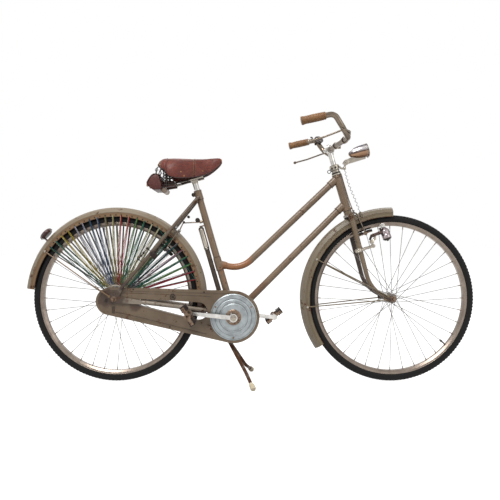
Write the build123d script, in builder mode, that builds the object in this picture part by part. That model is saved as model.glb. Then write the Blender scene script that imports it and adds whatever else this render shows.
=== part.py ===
# Step-through roadster bicycle with rod brakes, full chain case and cord skirt guards.
# Millimetres. X points forward, Y to the rider's left, Z up; the floor is Z = 0.
# The origin is on the floor, midway along the bicycle's length and on its centre plane.
import os
from math import cos, radians, sin, sqrt

from build123d import *

os.makedirs("parts", exist_ok=True)

# Wheels: 28 inch rims with 37 mm tyres
wheelbase = 1150.0
tyre_radius = 348.0
tyre_width = 37.0
rim_lip_radius = 318.0
rim_bed_radius = 311.5
rim_inner_radius = 303.0
rim_width = 28.0
rim_wall = 1.6
rim_band_width = 16.0
spoke_count = 36
spoke_radius = 1.1
spoke_lean = 64.0
axle_radius = 4.75
axle_bore = 5.3
axle_stub = 9.0
nut_radius = 8.5
nut_height = 7.0

# Rear wheel
rear_flange_radius = 28.0
rear_flange_left = 24.0
rear_flange_right = 21.0
rear_barrel_radius = 17.0
rear_dropout_inner = 60.5

# Front wheel
front_flange_radius = 20.0
front_flange_offset = 28.0
front_barrel_radius = 12.0
front_dropout_inner = 47.5

flange_thickness = 3.0
dropout_thickness = 5.0

# Mudguards, bent round each wheel
fender_radius = 380.0
fender_edge_radius = 341.0
fender_half_width = 28.0
fender_wall = 1.5
fender_rib = 2.0
fender_rib_half_width = 5.0
fender_stay_radius = 2.5
front_stay_angles = (152.5, 185.9)
front_ear_reach = 34.0
rear_fender_start = -12.0
rear_fender_end = 173.8
front_fender_start = 89.0
front_fender_end = 213.8
seat_gap = 0.3

# Frame
bottom_bracket_reach = 491.0
bottom_bracket_height = 274.0
bottom_bracket_radius = 21.0
bottom_bracket_half_width = 31.2
seat_angle = 73.8
seat_tube_radius = 14.3
seat_tube_length = 547.0
seat_lug_length = 42.0
seat_post_radius = 12.5
seat_clamp_height = 846.0
head_angle = 73.5
fork_rake = 68.7
head_tube_radius = 17.0
head_bore_radius = 13.6
head_tube_bottom = 716.0
head_tube_top = 863.0
headset_top = 907.0
cup_radius = 20.0
cup_height = 6.0
main_tube_radius = 14.0
upper_tube_head_height = 853.0
upper_tube_angle = 43.5
upper_tube_corner_drop = 386.0
upper_tube_bend_radius = 105.0
upper_tube_seat_height = 492.0
lower_tube_head_height = 745.0
lug_wall = 2.3
lug_reach = 46.0
tee_reach = 34.0
lug_start = 12.0

# Rear stays
chain_stay_radius = 8.5
chain_stay_root_y = 21.0
chain_stay_rise = 12.0
chain_stay_knee_x = 119.0
chain_stay_knee_y = 40.0
chain_stay_end_x = 375.0
chain_stay_end_y = 58.5
chain_stay_end_height = 335.0
seat_stay_radius = 7.5
seat_stay_root_y = 20.0
seat_stay_knee_y = 41.0
bridge_radius = 7.0

# Chain case
case_inner = bottom_bracket_half_width + seat_gap
case_thickness = 26.0
case_wall = 1.6
case_front_radius = 107.0
case_rear_radius = 56.5
case_band_width = 11.0
case_band_height = 2.0
slot_lip_width = 5.0
slot_lip_height = 1.2
disc_radius = 95.5

# Cranks and pedals
crank_length = 178.0
crank_angle = 6.0
crank_inner = 77.0
crank_thickness = 13.0
crank_axle_radius = 8.0
crank_bore_radius = 8.4
pedal_inner = 97.0
pedal_length = 92.0
pedal_block = 22.0
pedal_spread = 31.0
pedal_spindle_radius = 5.0
pedal_bore_radius = 5.4

# Centre stand
stand_pivot = (-118.0, 0.0, 222.0)
stand_leg_radius = 7.0
stand_bar_radius = 9.0
stand_pin_radius = 5.0
stand_knee = (-79.0, 16.5, 151.0)
stand_elbow = (-18.0, 74.0, 50.0)
stand_foot = (6.0, 157.0, 14.3)

# Fork, bars and lamp
blade_y = 50.0
blade_top_radius = 12.0
blade_mid_radius = 9.0
blade_tip_radius = 6.5
blade_bend_radius = 135.0
crown_half_depth = 19.0
crown_height = 20.0
crown_arm_height = 8.0
race_radius = 17.0
steerer_radius = 12.7
bar_radius = 11.0
grip_radius = 16.5
lever_radius = 3.5
lamp_radius = 28.0
lamp_length = 88.0
lamp_centre = (462.0, 0.0, 963.0)
lamp_tilt = 14.0

# Cord skirt guards
guard_cords = 24
guard_first_angle = 13.5
guard_last_angle = 142.0
guard_cord_radius = 0.9

# Curly lamp wire, from the lamp's bracket to the front mudguard
wire_route = [
    Vector(398.0, -6.0, 888.0),
    Vector(404.0, -20.0, 846.0),
    Vector(418.0, -34.0, 800.0),
    Vector(437.0, -42.0, 752.0),
    Vector(456.0, -30.0, 708.0),
]
wire_radius = 4.6
wire_boss_radius = 5.5

# Derived places
rear_axle_x = -(wheelbase + tyre_radius - fender_radius * cos(radians(180 - rear_fender_end))) / 2
rear_axle = (rear_axle_x, 0.0, tyre_radius)
front_axle = (rear_axle_x + wheelbase, 0.0, tyre_radius)
bracket = (rear_axle_x + bottom_bracket_reach, 0.0, bottom_bracket_height)
steer_up = Vector(-cos(radians(head_angle)), 0, sin(radians(head_angle)))
steer_front = Vector(sin(radians(head_angle)), 0, cos(radians(head_angle)))
steer_foot = Vector(*front_axle) - steer_front * fork_rake
seat_up = Vector(-cos(radians(seat_angle)), 0, sin(radians(seat_angle)))
seat_back = Vector(-sin(radians(seat_angle)), 0, -cos(radians(seat_angle)))


def steer_point(height):
    """Point on the steering axis at this height."""
    return steer_foot + steer_up * ((height - steer_foot.Z) / steer_up.Z)


def seat_point(height):
    """Point on the seat tube's axis at this height."""
    return Vector(*bracket) + seat_up * ((height - bracket[2]) / seat_up.Z)


def wheel_point(axle, radius, angle, across=0.0):
    """Point at this radius and angle about an axle; 0 degrees points forward, 90 up."""
    turn = radians(angle)
    return Vector(axle[0] + radius * cos(turn), across, axle[2] + radius * sin(turn))


def reach_along(start, direction, centre, distance):
    """Point where a line from start first comes within distance of a cross axle."""
    offset = start - Vector(*centre)
    flat = Vector(offset.X, 0, offset.Z)
    course = Vector(direction.X, 0, direction.Z)
    a = course.dot(course)
    b = 2 * flat.dot(course)
    c = flat.dot(flat) - distance**2
    return start + direction * ((-b - sqrt(b * b - 4 * a * c)) / (2 * a))


def bar(points, radius, bend=0.0):
    """Round bar along straight runs joined by tangent arcs, added to the piece being built."""
    with BuildLine() as route:
        if bend:
            FilletPolyline(*points, radius=bend)
        else:
            Line(*points)
    with BuildSketch(Plane(origin=route.line @ 0, z_dir=route.line % 0)) as section:
        Circle(radius)
    sweep(sections=section.sketch, path=route.line)


def cone(start, end, start_radius, end_radius):
    """Tapered round tube between two points, added to the piece being built."""
    along = end - start
    with BuildSketch(Plane(origin=start, z_dir=along)) as foot:
        Circle(start_radius)
    with BuildSketch(Plane(origin=end, z_dir=along)) as head:
        Circle(end_radius)
    loft(sections=[foot.sketch.face(), head.sketch.face()])


def ring(axle, outline, start=0.0, arc=360.0, mode=Mode.ADD):
    """Ring about a cross axle from (radius, across) corners, starting at an angle."""
    turn = radians(start)
    plane = Plane(
        origin=(axle[0], 0, axle[2]),
        x_dir=(cos(turn), 0, sin(turn)),
        z_dir=(-sin(turn), 0, cos(turn)),
    )
    with BuildSketch(plane) as section:
        with BuildLine():
            Polyline(*outline, close=True)
        make_face()
    spin = Axis((axle[0], 0, axle[2]), (0, -1, 0))
    revolve(profiles=section.sketch, axis=spin, revolution_arc=arc, mode=mode)


def lathe(origin, direction, outline, mode=Mode.ADD):
    """Turned piece from (along, radius) corners about the line from origin."""
    along = Vector(*direction).normalized()
    side = Vector(0, 1, 0) if abs(along.Y) < 0.9 else Vector(0, 0, 1)
    plane = Plane(origin=origin, x_dir=along, z_dir=along.cross(side))
    with BuildSketch(plane) as section:
        with BuildLine():
            Polyline(*outline, close=True)
        make_face()
    revolve(profiles=section.sketch, axis=Axis(origin, along), mode=mode)


def disc(origin, direction, radius, length, mode=Mode.ADD):
    """Plain round disc or rod from origin along a direction."""
    with BuildSketch(Plane(origin=origin, z_dir=direction)) as section:
        Circle(radius)
    extrude(to_extrude=section.sketch, amount=length, mode=mode)


def save(piece, name):
    """Label a finished piece and write it under its own name."""
    piece.part.label = name
    export_step(piece.part, f"parts/{name}.step")


# Wheels


def build_tyre(axle, name):
    """Tyre with a faceted round tread on straight walls that stand in the rim's bed."""
    half = tyre_width / 2
    centre_radius = tyre_radius - half
    seat = rim_width / 2 - rim_wall - 0.2
    crown = []
    for turn in (-1.0, -22.5, -45.0, -67.5, -90.0):
        crown.append((centre_radius + half * cos(radians(turn)), half * sin(radians(turn))))
    side = [(rim_lip_radius, seat), (rim_bed_radius + 0.3, seat)]
    right = [(radius, -across) for radius, across in side]
    left_crown = [(radius, -across) for radius, across in crown[1:]]
    with BuildPart() as tyre:
        ring(
            axle,
            [*right[::-1], *crown[::-1][:-1], (tyre_radius, 0), *left_crown, *side],
        )
    save(tyre, name)


def build_rim(axle, name):
    """Westwood rim: a hollow-sided band with rolled lips that hold the tyre."""
    half = rim_width / 2
    band = rim_band_width / 2
    knee = rim_bed_radius - 1.0
    with BuildPart() as rim:
        ring(
            axle,
            [
                (rim_lip_radius, half),
                (knee, half),
                (rim_inner_radius, band),
                (rim_inner_radius, -band),
                (knee, -half),
                (rim_lip_radius, -half),
                (rim_lip_radius, -half + rim_wall),
                (rim_bed_radius, -half + rim_wall),
                (rim_bed_radius, half - rim_wall),
                (rim_lip_radius, half - rim_wall),
            ],
        )
    save(rim, name)


def build_spoked_hub(axle, hub_outline, flange_radius, flanges, name):
    """Hub shell with its spokes laced to the rim, each leaning away from the radius."""
    hole_radius = flange_radius - 3.0
    with BuildPart() as hub:
        ring(axle, hub_outline)
        for index in range(spoke_count):
            angle = 360.0 / spoke_count * index
            side = flanges[index % 2]
            lean = spoke_lean if (index // 2) % 2 else -spoke_lean
            start = wheel_point(axle, hole_radius, angle + lean, side)
            end = wheel_point(axle, rim_inner_radius + 2.0, angle, 4.0 if side > 0 else -4.0)
            with BuildSketch(Plane(origin=start, z_dir=end - start)) as section:
                RegularPolygon(spoke_radius, 6)
            extrude(to_extrude=section.sketch, amount=(end - start).length)
        ring(
            axle,
            [
                (rim_inner_radius, -rim_band_width),
                (rim_inner_radius + 12.0, -rim_band_width),
                (rim_inner_radius + 12.0, rim_band_width),
                (rim_inner_radius, rim_band_width),
            ],
            mode=Mode.SUBTRACT,
        )
    save(hub, name)


rear_hub_outline = [
    (axle_bore, -50.0),
    (12.0, -50.0),
    (12.0, -rear_flange_right - 5.0),
    (rear_flange_radius, -rear_flange_right - flange_thickness),
    (rear_flange_radius, -rear_flange_right),
    (rear_barrel_radius, -rear_flange_right + 3.0),
    (rear_barrel_radius, rear_flange_left - 3.0),
    (rear_flange_radius, rear_flange_left),
    (rear_flange_radius, rear_flange_left + flange_thickness),
    (14.0, rear_flange_left + 7.0),
    (12.0, 48.0),
    (axle_bore, 48.0),
]
front_hub_outline = [
    (axle_bore, -38.0),
    (10.0, -38.0),
    (front_barrel_radius, -front_flange_offset - flange_thickness - 1.0),
    (front_flange_radius, -front_flange_offset - flange_thickness),
    (front_flange_radius, -front_flange_offset),
    (front_barrel_radius, -front_flange_offset + 5.0),
    (front_barrel_radius, front_flange_offset - 5.0),
    (front_flange_radius, front_flange_offset),
    (front_flange_radius, front_flange_offset + flange_thickness),
    (front_barrel_radius, front_flange_offset + flange_thickness + 1.0),
    (10.0, 38.0),
    (axle_bore, 38.0),
]
build_tyre(rear_axle, "rear_tyre")
build_tyre(front_axle, "front_tyre")
build_rim(rear_axle, "rear_rim")
build_rim(front_axle, "front_rim")
build_spoked_hub(
    rear_axle,
    rear_hub_outline,
    rear_flange_radius,
    (-rear_flange_right - flange_thickness / 2, rear_flange_left + flange_thickness / 2),
    "rear_spoked_hub",
)
build_spoked_hub(
    front_axle,
    front_hub_outline,
    front_flange_radius,
    (-front_flange_offset - flange_thickness / 2, front_flange_offset + flange_thickness / 2),
    "front_spoked_hub",
)

# Frame: main tubes

head_bottom = steer_point(head_tube_bottom)
head_top = steer_point(head_tube_top)
upper_tube_head = steer_point(upper_tube_head_height)
lower_tube_head = steer_point(lower_tube_head_height)
upper_course = Vector(-cos(radians(upper_tube_angle)), 0, -sin(radians(upper_tube_angle)))
upper_corner = upper_tube_head + upper_course * (upper_tube_corner_drop / sin(radians(upper_tube_angle)))
upper_seat_end = seat_point(upper_tube_seat_height)
lower_course = (Vector(*bracket) - lower_tube_head).normalized()
tail_course = (upper_corner - upper_seat_end).normalized()
lug_radius = main_tube_radius + lug_wall

with BuildPart() as head_tube:
    lathe(
        head_bottom,
        steer_up,
        [
            (0, head_bore_radius),
            (0, cup_radius),
            (cup_height, cup_radius),
            (cup_height + 3.0, head_tube_radius),
            ((head_top - head_bottom).length - cup_height - 3.0, head_tube_radius),
            ((head_top - head_bottom).length - cup_height, cup_radius),
            ((head_top - head_bottom).length, cup_radius),
            ((head_top - head_bottom).length, head_bore_radius),
        ],
    )
    for lug_root, lug_course in ((upper_tube_head, upper_course), (lower_tube_head, lower_course)):
        disc(lug_root + lug_course * lug_start, lug_course, lug_radius, lug_reach - lug_start)
    disc(head_bottom - steer_up, steer_up, head_bore_radius, (head_top - head_bottom).length + 2, Mode.SUBTRACT)
save(head_tube, "head_tube")

with BuildPart() as upper_tube:
    bar(
        [
            upper_tube_head + upper_course * lug_reach,
            upper_corner,
            upper_seat_end + tail_course * tee_reach,
        ],
        main_tube_radius,
        upper_tube_bend_radius,
    )
save(upper_tube, "upper_tube")

lower_tube_foot = Vector(*bracket) - lower_course * lug_reach
with BuildPart() as lower_tube:
    bar([lower_tube_head + lower_course * lug_reach, lower_tube_foot], main_tube_radius)
save(lower_tube, "lower_tube")

seat_lug_top = Vector(*bracket) + seat_up * seat_tube_length
seat_tube_foot = Vector(*bracket) + seat_up * lug_reach
pump_offset = 30.0
pump_top = 395.0
pump_bottom = 72.0
peg_radius = 3.0
with BuildPart() as seat_tube:
    disc(seat_tube_foot, seat_up, seat_tube_radius, seat_tube_length - lug_reach)
    disc(seat_lug_top - seat_up * seat_lug_length, seat_up, seat_tube_radius + lug_wall, seat_lug_length)
    disc(upper_seat_end, tail_course, lug_radius, tee_reach)
    disc(
        seat_point(upper_tube_seat_height) - seat_up * 26.0,
        seat_up,
        seat_tube_radius + lug_wall,
        52.0,
    )
    for ear_y in (-7.0, 7.0):
        ear_centre = seat_lug_top - seat_up * 13.0 + seat_back * (seat_tube_radius + lug_wall + 4.0)
        disc(Vector(ear_centre.X, ear_y - 2.5, ear_centre.Z), (0, 1, 0), 8.0, 5.0)
    bolt_centre = seat_lug_top - seat_up * 13.0 + seat_back * (seat_tube_radius + lug_wall + 4.0)
    disc(Vector(bolt_centre.X, -13.0, bolt_centre.Z), (0, 1, 0), 3.5, 26.0)
    for peg_at in (pump_top + peg_radius + seat_gap, pump_bottom - peg_radius - seat_gap):
        peg_root = Vector(*bracket) + seat_up * peg_at
        bar([peg_root, peg_root + seat_back * (pump_offset + 4.0)], peg_radius)
    disc(seat_lug_top - seat_up * 90.0, seat_up, seat_post_radius + 0.1, 95.0, Mode.SUBTRACT)
save(seat_tube, "seat_tube")

# Rear stays and dropouts

stay_end = Vector(bracket[0] - chain_stay_end_x, chain_stay_end_y, chain_stay_end_height)
stay_knee = Vector(bracket[0] - chain_stay_knee_x, chain_stay_knee_y, 0)
stay_rise = (stay_end.Z - bracket[2] - chain_stay_rise) / chain_stay_end_x
stay_knee.Z = bracket[2] + chain_stay_rise + stay_rise * chain_stay_knee_x
stay_root = Vector(bracket[0] - 8.0, chain_stay_root_y, bracket[2] + chain_stay_rise)
bridge_reach = fender_radius + bridge_radius + seat_gap
chain_bridge = reach_along(stay_knee, stay_end - stay_knee, rear_axle, bridge_reach)
seat_stay_root = seat_lug_top - seat_up * 28.0 + Vector(0, seat_stay_root_y, 0)
seat_stay_foot = Vector(rear_axle[0] + 30.0, rear_dropout_inner + 9.0, rear_axle[2] + 42.0)
seat_stay_course = seat_stay_foot - seat_stay_root
seat_stay_knee = seat_stay_root + seat_stay_course * 0.24
seat_stay_knee.Y = seat_stay_knee_y
seat_bridge = reach_along(seat_stay_knee, seat_stay_foot - seat_stay_knee, rear_axle, bridge_reach)
eyelet_angle = 146.4
eyelet_reach = 21.0

with BuildPart() as bracket_shell:
    disc((bracket[0], -bottom_bracket_half_width, bracket[2]), (0, 1, 0), bottom_bracket_radius, 2 * bottom_bracket_half_width)
    disc(bracket, seat_up, seat_tube_radius + lug_wall, lug_reach)
    disc(bracket, -lower_course, lug_radius, lug_reach)
    disc((bracket[0], -40, bracket[2]), (0, 1, 0), crank_bore_radius, 80, Mode.SUBTRACT)
save(bracket_shell, "bottom_bracket")

with BuildPart() as chain_stays:
    for side in (-1, 1):
        route = [Vector(p.X, p.Y * side, p.Z) for p in (stay_root, stay_knee, stay_end)]
        bar(route, chain_stay_radius, 160.0)
        inner = rear_dropout_inner if side > 0 else -rear_dropout_inner - dropout_thickness
        plate = Plane(origin=(0, inner, 0), x_dir=(1, 0, 0), z_dir=(0, -1, 0))
        with BuildSketch(plate) as stay_arm:
            with Locations((rear_axle[0], rear_axle[2])):
                Circle(15.0)
            with Locations((stay_end.X - 4.0, stay_end.Z)):
                Circle(8.0)
            make_hull()
        extrude(to_extrude=stay_arm.sketch, amount=-dropout_thickness)
        with BuildSketch(plate) as upper_arm:
            with Locations((rear_axle[0], rear_axle[2])):
                Circle(15.0)
            with Locations((seat_stay_foot.X - 3.0, seat_stay_foot.Z - 4.0)):
                Circle(8.0)
            eyelet = wheel_point(rear_axle, eyelet_reach, eyelet_angle)
            with Locations((eyelet.X, eyelet.Z)):
                Circle(7.0)
            make_hull()
        extrude(to_extrude=upper_arm.sketch, amount=-dropout_thickness)
    bar([Vector(chain_bridge.X, -chain_bridge.Y, chain_bridge.Z), chain_bridge], bridge_radius)
    disc((rear_axle[0], -80, rear_axle[2]), (0, 1, 0), axle_bore, 160, Mode.SUBTRACT)
    disc((bracket[0], -40, bracket[2]), (0, 1, 0), bottom_bracket_radius, 80, Mode.SUBTRACT)
save(chain_stays, "chain_stays")

with BuildPart() as seat_stays:
    for side in (-1, 1):
        route = [Vector(p.X, p.Y * side, p.Z) for p in (seat_stay_root, seat_stay_knee, seat_stay_foot)]
        bar(route, seat_stay_radius, 160.0)
    bar([Vector(seat_bridge.X, -seat_bridge.Y, seat_bridge.Z), seat_bridge], bridge_radius)
    add(chain_stays.part, mode=Mode.SUBTRACT)
    add(seat_tube.part, mode=Mode.SUBTRACT)
save(seat_stays, "seat_stays")

with BuildPart() as rear_axle_rod:
    rod_end = rear_dropout_inner + dropout_thickness + seat_gap + nut_height + axle_stub
    disc((rear_axle[0], -rod_end, rear_axle[2]), (0, 1, 0), axle_radius, 2 * rod_end)
    for side in (-1, 1):
        nut_foot = side * (rear_dropout_inner + dropout_thickness + seat_gap)
        with BuildSketch(Plane(origin=(rear_axle[0], nut_foot, rear_axle[2]), z_dir=(0, side, 0))) as nut:
            RegularPolygon(nut_radius, 6)
        extrude(to_extrude=nut.sketch, amount=nut_height)
        lock_foot = side * (rear_dropout_inner - seat_gap)
        disc((rear_axle[0], lock_foot, rear_axle[2]), (0, -side, 0), nut_radius, 7.0)
save(rear_axle_rod, "rear_axle")

# Centre stand and its bracket under the chain stays

with BuildPart() as stand_bracket:
    plate_top = bracket[2] + 10.0
    with BuildSketch(Plane.XY.offset(plate_top - 5.0)) as plate_outline:
        with Locations((stand_pivot[0] - 2.0, 0)):
            RectangleRounded(44.0, 56.0, 6.0)
    extrude(to_extrude=plate_outline.sketch, amount=5.0)
    for side in (-1, 1):
        with BuildSketch(Plane(origin=(0, side * 19.0, 0), x_dir=(1, 0, 0), z_dir=(0, -1, 0))) as ear:
            with Locations((stand_pivot[0], stand_pivot[2])):
                Circle(10.0)
            with Locations((stand_pivot[0], plate_top - 6.0)):
                Rectangle(30.0, 4.0)
            make_hull()
        extrude(to_extrude=ear.sketch, amount=-side * 3.5)
    disc((stand_pivot[0], -24.5, stand_pivot[2]), (0, 1, 0), stand_pin_radius, 49.0)
    disc((stand_pivot[0], 22.5, stand_pivot[2]), (0, 1, 0), 8.0, 4.0)
    disc((stand_pivot[0], -26.5, stand_pivot[2]), (0, 1, 0), 8.0, 4.0)
    add(chain_stays.part, mode=Mode.SUBTRACT)
save(stand_bracket, "stand_bracket")

foot_radius = 11.0
foot_length = 30.0
foot_course = (Vector(*stand_foot) - Vector(*stand_elbow)).normalized()
with BuildPart() as stand_legs:
    disc((stand_pivot[0], -18.5, stand_pivot[2]), (0, 1, 0), stand_bar_radius, 37.0)
    for side in (-1, 1):
        route = [
            Vector(stand_pivot[0] + 2.0, side * 10.0, stand_pivot[2]),
            Vector(stand_knee[0], side * stand_knee[1], stand_knee[2]),
            Vector(stand_elbow[0], side * stand_elbow[1], stand_elbow[2]),
            Vector(stand_foot[0], side * stand_foot[1], stand_foot[2]),
        ]
        bar(route, stand_leg_radius, 40.0)
    disc((stand_pivot[0], -30, stand_pivot[2]), (0, 1, 0), stand_pin_radius + 0.3, 60.0, Mode.SUBTRACT)
save(stand_legs, "stand_legs")

with BuildPart() as stand_feet:
    for side in (-1, 1):
        course = Vector(foot_course.X, side * foot_course.Y, foot_course.Z)
        tip = Vector(stand_foot[0], side * stand_foot[1], stand_foot[2])
        lathe(
            tip - course * (foot_length - 14.0),
            course,
            [
                (0, 0),
                (0, foot_radius - 2.5),
                (foot_length * 0.4, foot_radius),
                (foot_length, foot_radius),
                (foot_length + 6.0, foot_radius * 0.7),
                (foot_length + 6.0, 0),
            ],
        )
    with BuildSketch(Plane.XY) as floor:
        Rectangle(800.0, 800.0)
    extrude(to_extrude=floor.sketch, amount=-60.0, mode=Mode.SUBTRACT)
    add(stand_legs.part, mode=Mode.SUBTRACT)
save(stand_feet, "stand_feet")

# Chain case, a hollow sheet housing that the right chain stay passes through

case_rear = (rear_axle[0] - 18.0, rear_axle[2] - 9.0)
case_front = (bracket[0], bracket[2])
slot_left = (-444.0, 334.0)
slot_right = (-213.0, 298.0)
slot_left_radius = 14.5
slot_right_radius = 37.0
case_plane = Plane(origin=(0, -case_inner, 0), x_dir=(1, 0, 0), z_dir=(0, -1, 0))


def case_outline(inset):
    """Chain case outline as a hull about both sprockets, drawn in by an inset."""
    with BuildSketch(Plane.XY) as outline:
        with Locations(case_rear):
            Circle(case_rear_radius - inset)
        with Locations(case_front):
            Circle(case_front_radius - inset)
        make_hull()
    return outline.sketch


def slot_outline(margin):
    """Slot between the chain's two runs, where the chain stay crosses the case."""
    with BuildSketch(Plane.XY) as slot:
        with Locations(slot_left):
            Circle(slot_left_radius + margin)
        with Locations(slot_right):
            Circle(slot_right_radius + margin)
        make_hull()
    return slot.sketch


slot_cut = slot_outline(0.0)
with BuildPart() as chain_case:
    with BuildSketch(case_plane) as outline:
        add(case_outline(0.0))
        add(slot_cut, mode=Mode.SUBTRACT)
    extrude(to_extrude=outline.sketch, amount=case_thickness)
    with BuildSketch(case_plane.offset(case_thickness)) as border:
        add(case_outline(0.0))
        add(case_outline(case_band_width), mode=Mode.SUBTRACT)
    extrude(to_extrude=border.sketch, amount=case_band_height)
    with BuildSketch(case_plane.offset(case_thickness)) as slot_lip:
        add(slot_outline(slot_lip_width))
        add(slot_cut, mode=Mode.SUBTRACT)
    extrude(to_extrude=slot_lip.sketch, amount=slot_lip_height)
    with BuildSketch(case_plane.offset(case_wall)) as hollow:
        add(case_outline(case_wall))
        add(slot_outline(case_wall), mode=Mode.SUBTRACT)
    extrude(to_extrude=hollow.sketch, amount=case_thickness - 2 * case_wall, mode=Mode.SUBTRACT)
    # The inner wall opens for the hub, the bracket and the chain stay.
    with BuildSketch(case_plane) as inner_holes:
        with Locations((rear_axle[0], rear_axle[2])):
            Circle(36.0)
        with Locations(case_front):
            Circle(24.0)
        with Locations((bracket[0] - 76.0, 295.0)):
            Rectangle(120.0, 40.0)
    extrude(to_extrude=inner_holes.sketch, amount=18.0, mode=Mode.SUBTRACT)
    disc((rear_axle[0], -80, rear_axle[2]), (0, 1, 0), 12.0, 60, Mode.SUBTRACT)
    disc((bracket[0], -80, bracket[2]), (0, 1, 0), 16.0, 60, Mode.SUBTRACT)
save(chain_case, "chain_case")

disc_seat = case_inner + case_thickness + seat_gap
with BuildPart() as disc_cover:
    lathe(
        (bracket[0], -disc_seat, bracket[2]),
        (0, -1, 0),
        [
            (0, 16.0),
            (0, disc_radius),
            (3.0, disc_radius),
            (5.0, disc_radius - 4.0),
            (5.0, 77.0),
            (3.6, 74.0),
            (5.4, 70.0),
            (5.4, 60.0),
            (3.8, 57.0),
            (6.0, 52.0),
            (9.0, 34.0),
            (7.0, 26.0),
            (7.0, 16.0),
        ],
    )
save(disc_cover, "disc_cover")

# Cranks and pedals

right_turn = 180.0 - crank_angle
crank_ends = {
    -1: wheel_point(bracket, crank_length, right_turn),
    1: wheel_point(bracket, crank_length, right_turn + 180.0),
}
with BuildPart() as cranks:
    axle_half = crank_inner + crank_thickness - 1.0
    disc((bracket[0], -axle_half, bracket[2]), (0, 1, 0), crank_axle_radius, 2 * axle_half)
    for side in (-1, 1):
        end = crank_ends[side]
        face = Plane(origin=(0, side * crank_inner, 0), x_dir=(1, 0, 0), z_dir=(0, -1, 0))
        with BuildSketch(face) as arm:
            with Locations((bracket[0], bracket[2])):
                Circle(9.0)
            with Locations((end.X, end.Z)):
                Circle(7.5)
            make_hull()
        extrude(to_extrude=arm.sketch, amount=-side * crank_thickness)
        disc((bracket[0], side * (crank_inner - 3.0), bracket[2]), (0, side, 0), 17.0, crank_thickness + 6.0)
        disc((end.X, side * crank_inner, end.Z), (0, side, 0), 12.0, crank_thickness + 1.0)
        spindle_length = pedal_inner + pedal_length - 10.0 - crank_inner
        disc((end.X, side * crank_inner, end.Z), (0, side, 0), pedal_spindle_radius, spindle_length)
save(cranks, "cranks")


def build_pedal(side, tilt, name):
    """Block pedal: two ribbed rubber bars between end plates on a hollow barrel."""
    centre = crank_ends[side]
    start = Vector(centre.X, side * pedal_inner, centre.Z)
    along = Vector(cos(radians(tilt)), 0, sin(radians(tilt)))
    frame = Plane(origin=start, x_dir=along, z_dir=(0, side, 0))
    with BuildPart() as pedal:
        with BuildSketch(frame) as barrel:
            Circle(9.0)
        extrude(to_extrude=barrel.sketch, amount=pedal_length)
        for offset_y in (0.0, pedal_length - 3.0):
            with BuildSketch(frame.offset(offset_y)) as plate:
                Circle(12.0)
                for block in (-1, 1):
                    with Locations((block * pedal_spread, 0)):
                        Rectangle(pedal_block - 6.0, pedal_block - 6.0)
                make_hull()
            extrude(to_extrude=plate.sketch, amount=3.0)
        for block in (-1, 1):
            with BuildSketch(frame.offset(3.0)) as rubber:
                with Locations((block * pedal_spread, 0)):
                    Rectangle(pedal_block, pedal_block)
            extrude(to_extrude=rubber.sketch, amount=pedal_length - 6.0)
        with BuildSketch(frame.offset(-1.0)) as bore:
            Circle(pedal_bore_radius)
        extrude(to_extrude=bore.sketch, amount=pedal_length - 6.0, mode=Mode.SUBTRACT)
    save(pedal, name)


build_pedal(-1, -58.0, "pedal_right")
build_pedal(1, 40.0, "pedal_left")

# Mudguards

half = fender_half_width
fender_outline = [
    (fender_edge_radius, half),
    (fender_radius - 20.0, half),
    (fender_radius - 7.0, half - 10.0),
    (fender_radius - fender_rib, fender_rib_half_width + 3.0),
    (fender_radius, fender_rib_half_width),
    (fender_radius, -fender_rib_half_width),
    (fender_radius - fender_rib, -fender_rib_half_width - 3.0),
    (fender_radius - 7.0, -half + 10.0),
    (fender_radius - 20.0, -half),
    (fender_edge_radius, -half),
    (fender_edge_radius, -half + fender_wall),
    (fender_radius - 20.6, -half + fender_wall),
    (fender_radius - 8.3, -half + 11.0),
    (fender_radius - fender_rib - fender_wall, 0),
    (fender_radius - 8.3, half - 11.0),
    (fender_radius - 20.6, half - fender_wall),
    (fender_edge_radius, half - fender_wall),
]


def fender_stay(axle, angle, reach, clear_reach, clear_y, eye_reach, eye_y):
    """Pair of wire stays from the mudguard's edge, outside the stays or blades, to an eye."""
    for side in (-1, 1):
        root = wheel_point(axle, reach, angle, side * (fender_half_width + 1.0))
        knee = wheel_point(axle, clear_reach, angle, side * clear_y)
        eye = wheel_point(axle, eye_reach, angle, side * eye_y)
        bar([root, knee, eye], fender_stay_radius, 30.0)
        eye_centre = wheel_point(axle, eye_reach, angle)
        disc((eye_centre.X, side * (eye_y - 2.0), eye_centre.Z), (0, side, 0), 5.0, 4.0)


rear_eye_y = rear_dropout_inner + dropout_thickness + seat_gap + fender_stay_radius
with BuildPart() as rear_fender:
    ring(rear_axle, fender_outline, rear_fender_start, rear_fender_end - rear_fender_start)
    fender_stay(rear_axle, eyelet_angle, 350.0, 88.0, rear_eye_y, eyelet_reach, rear_eye_y)
save(rear_fender, "rear_fender")

front_eye_y = front_dropout_inner + dropout_thickness + seat_gap + fender_stay_radius
with BuildPart() as front_fender:
    ring(front_axle, fender_outline, front_fender_start, front_fender_end - front_fender_start)
    fender_stay(front_axle, front_stay_angles[0], 348.0, 150.0, 63.5, 26.0, front_eye_y + 4.0)
    wire_in = (wire_route[-1] - wire_route[-2]).normalized()
    disc(wire_route[-1], wire_in, wire_boss_radius, 22.0)
    fender_stay(front_axle, front_stay_angles[1], 348.0, 90.0, front_eye_y, front_ear_reach, front_eye_y)
save(front_fender, "front_fender")

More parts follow.
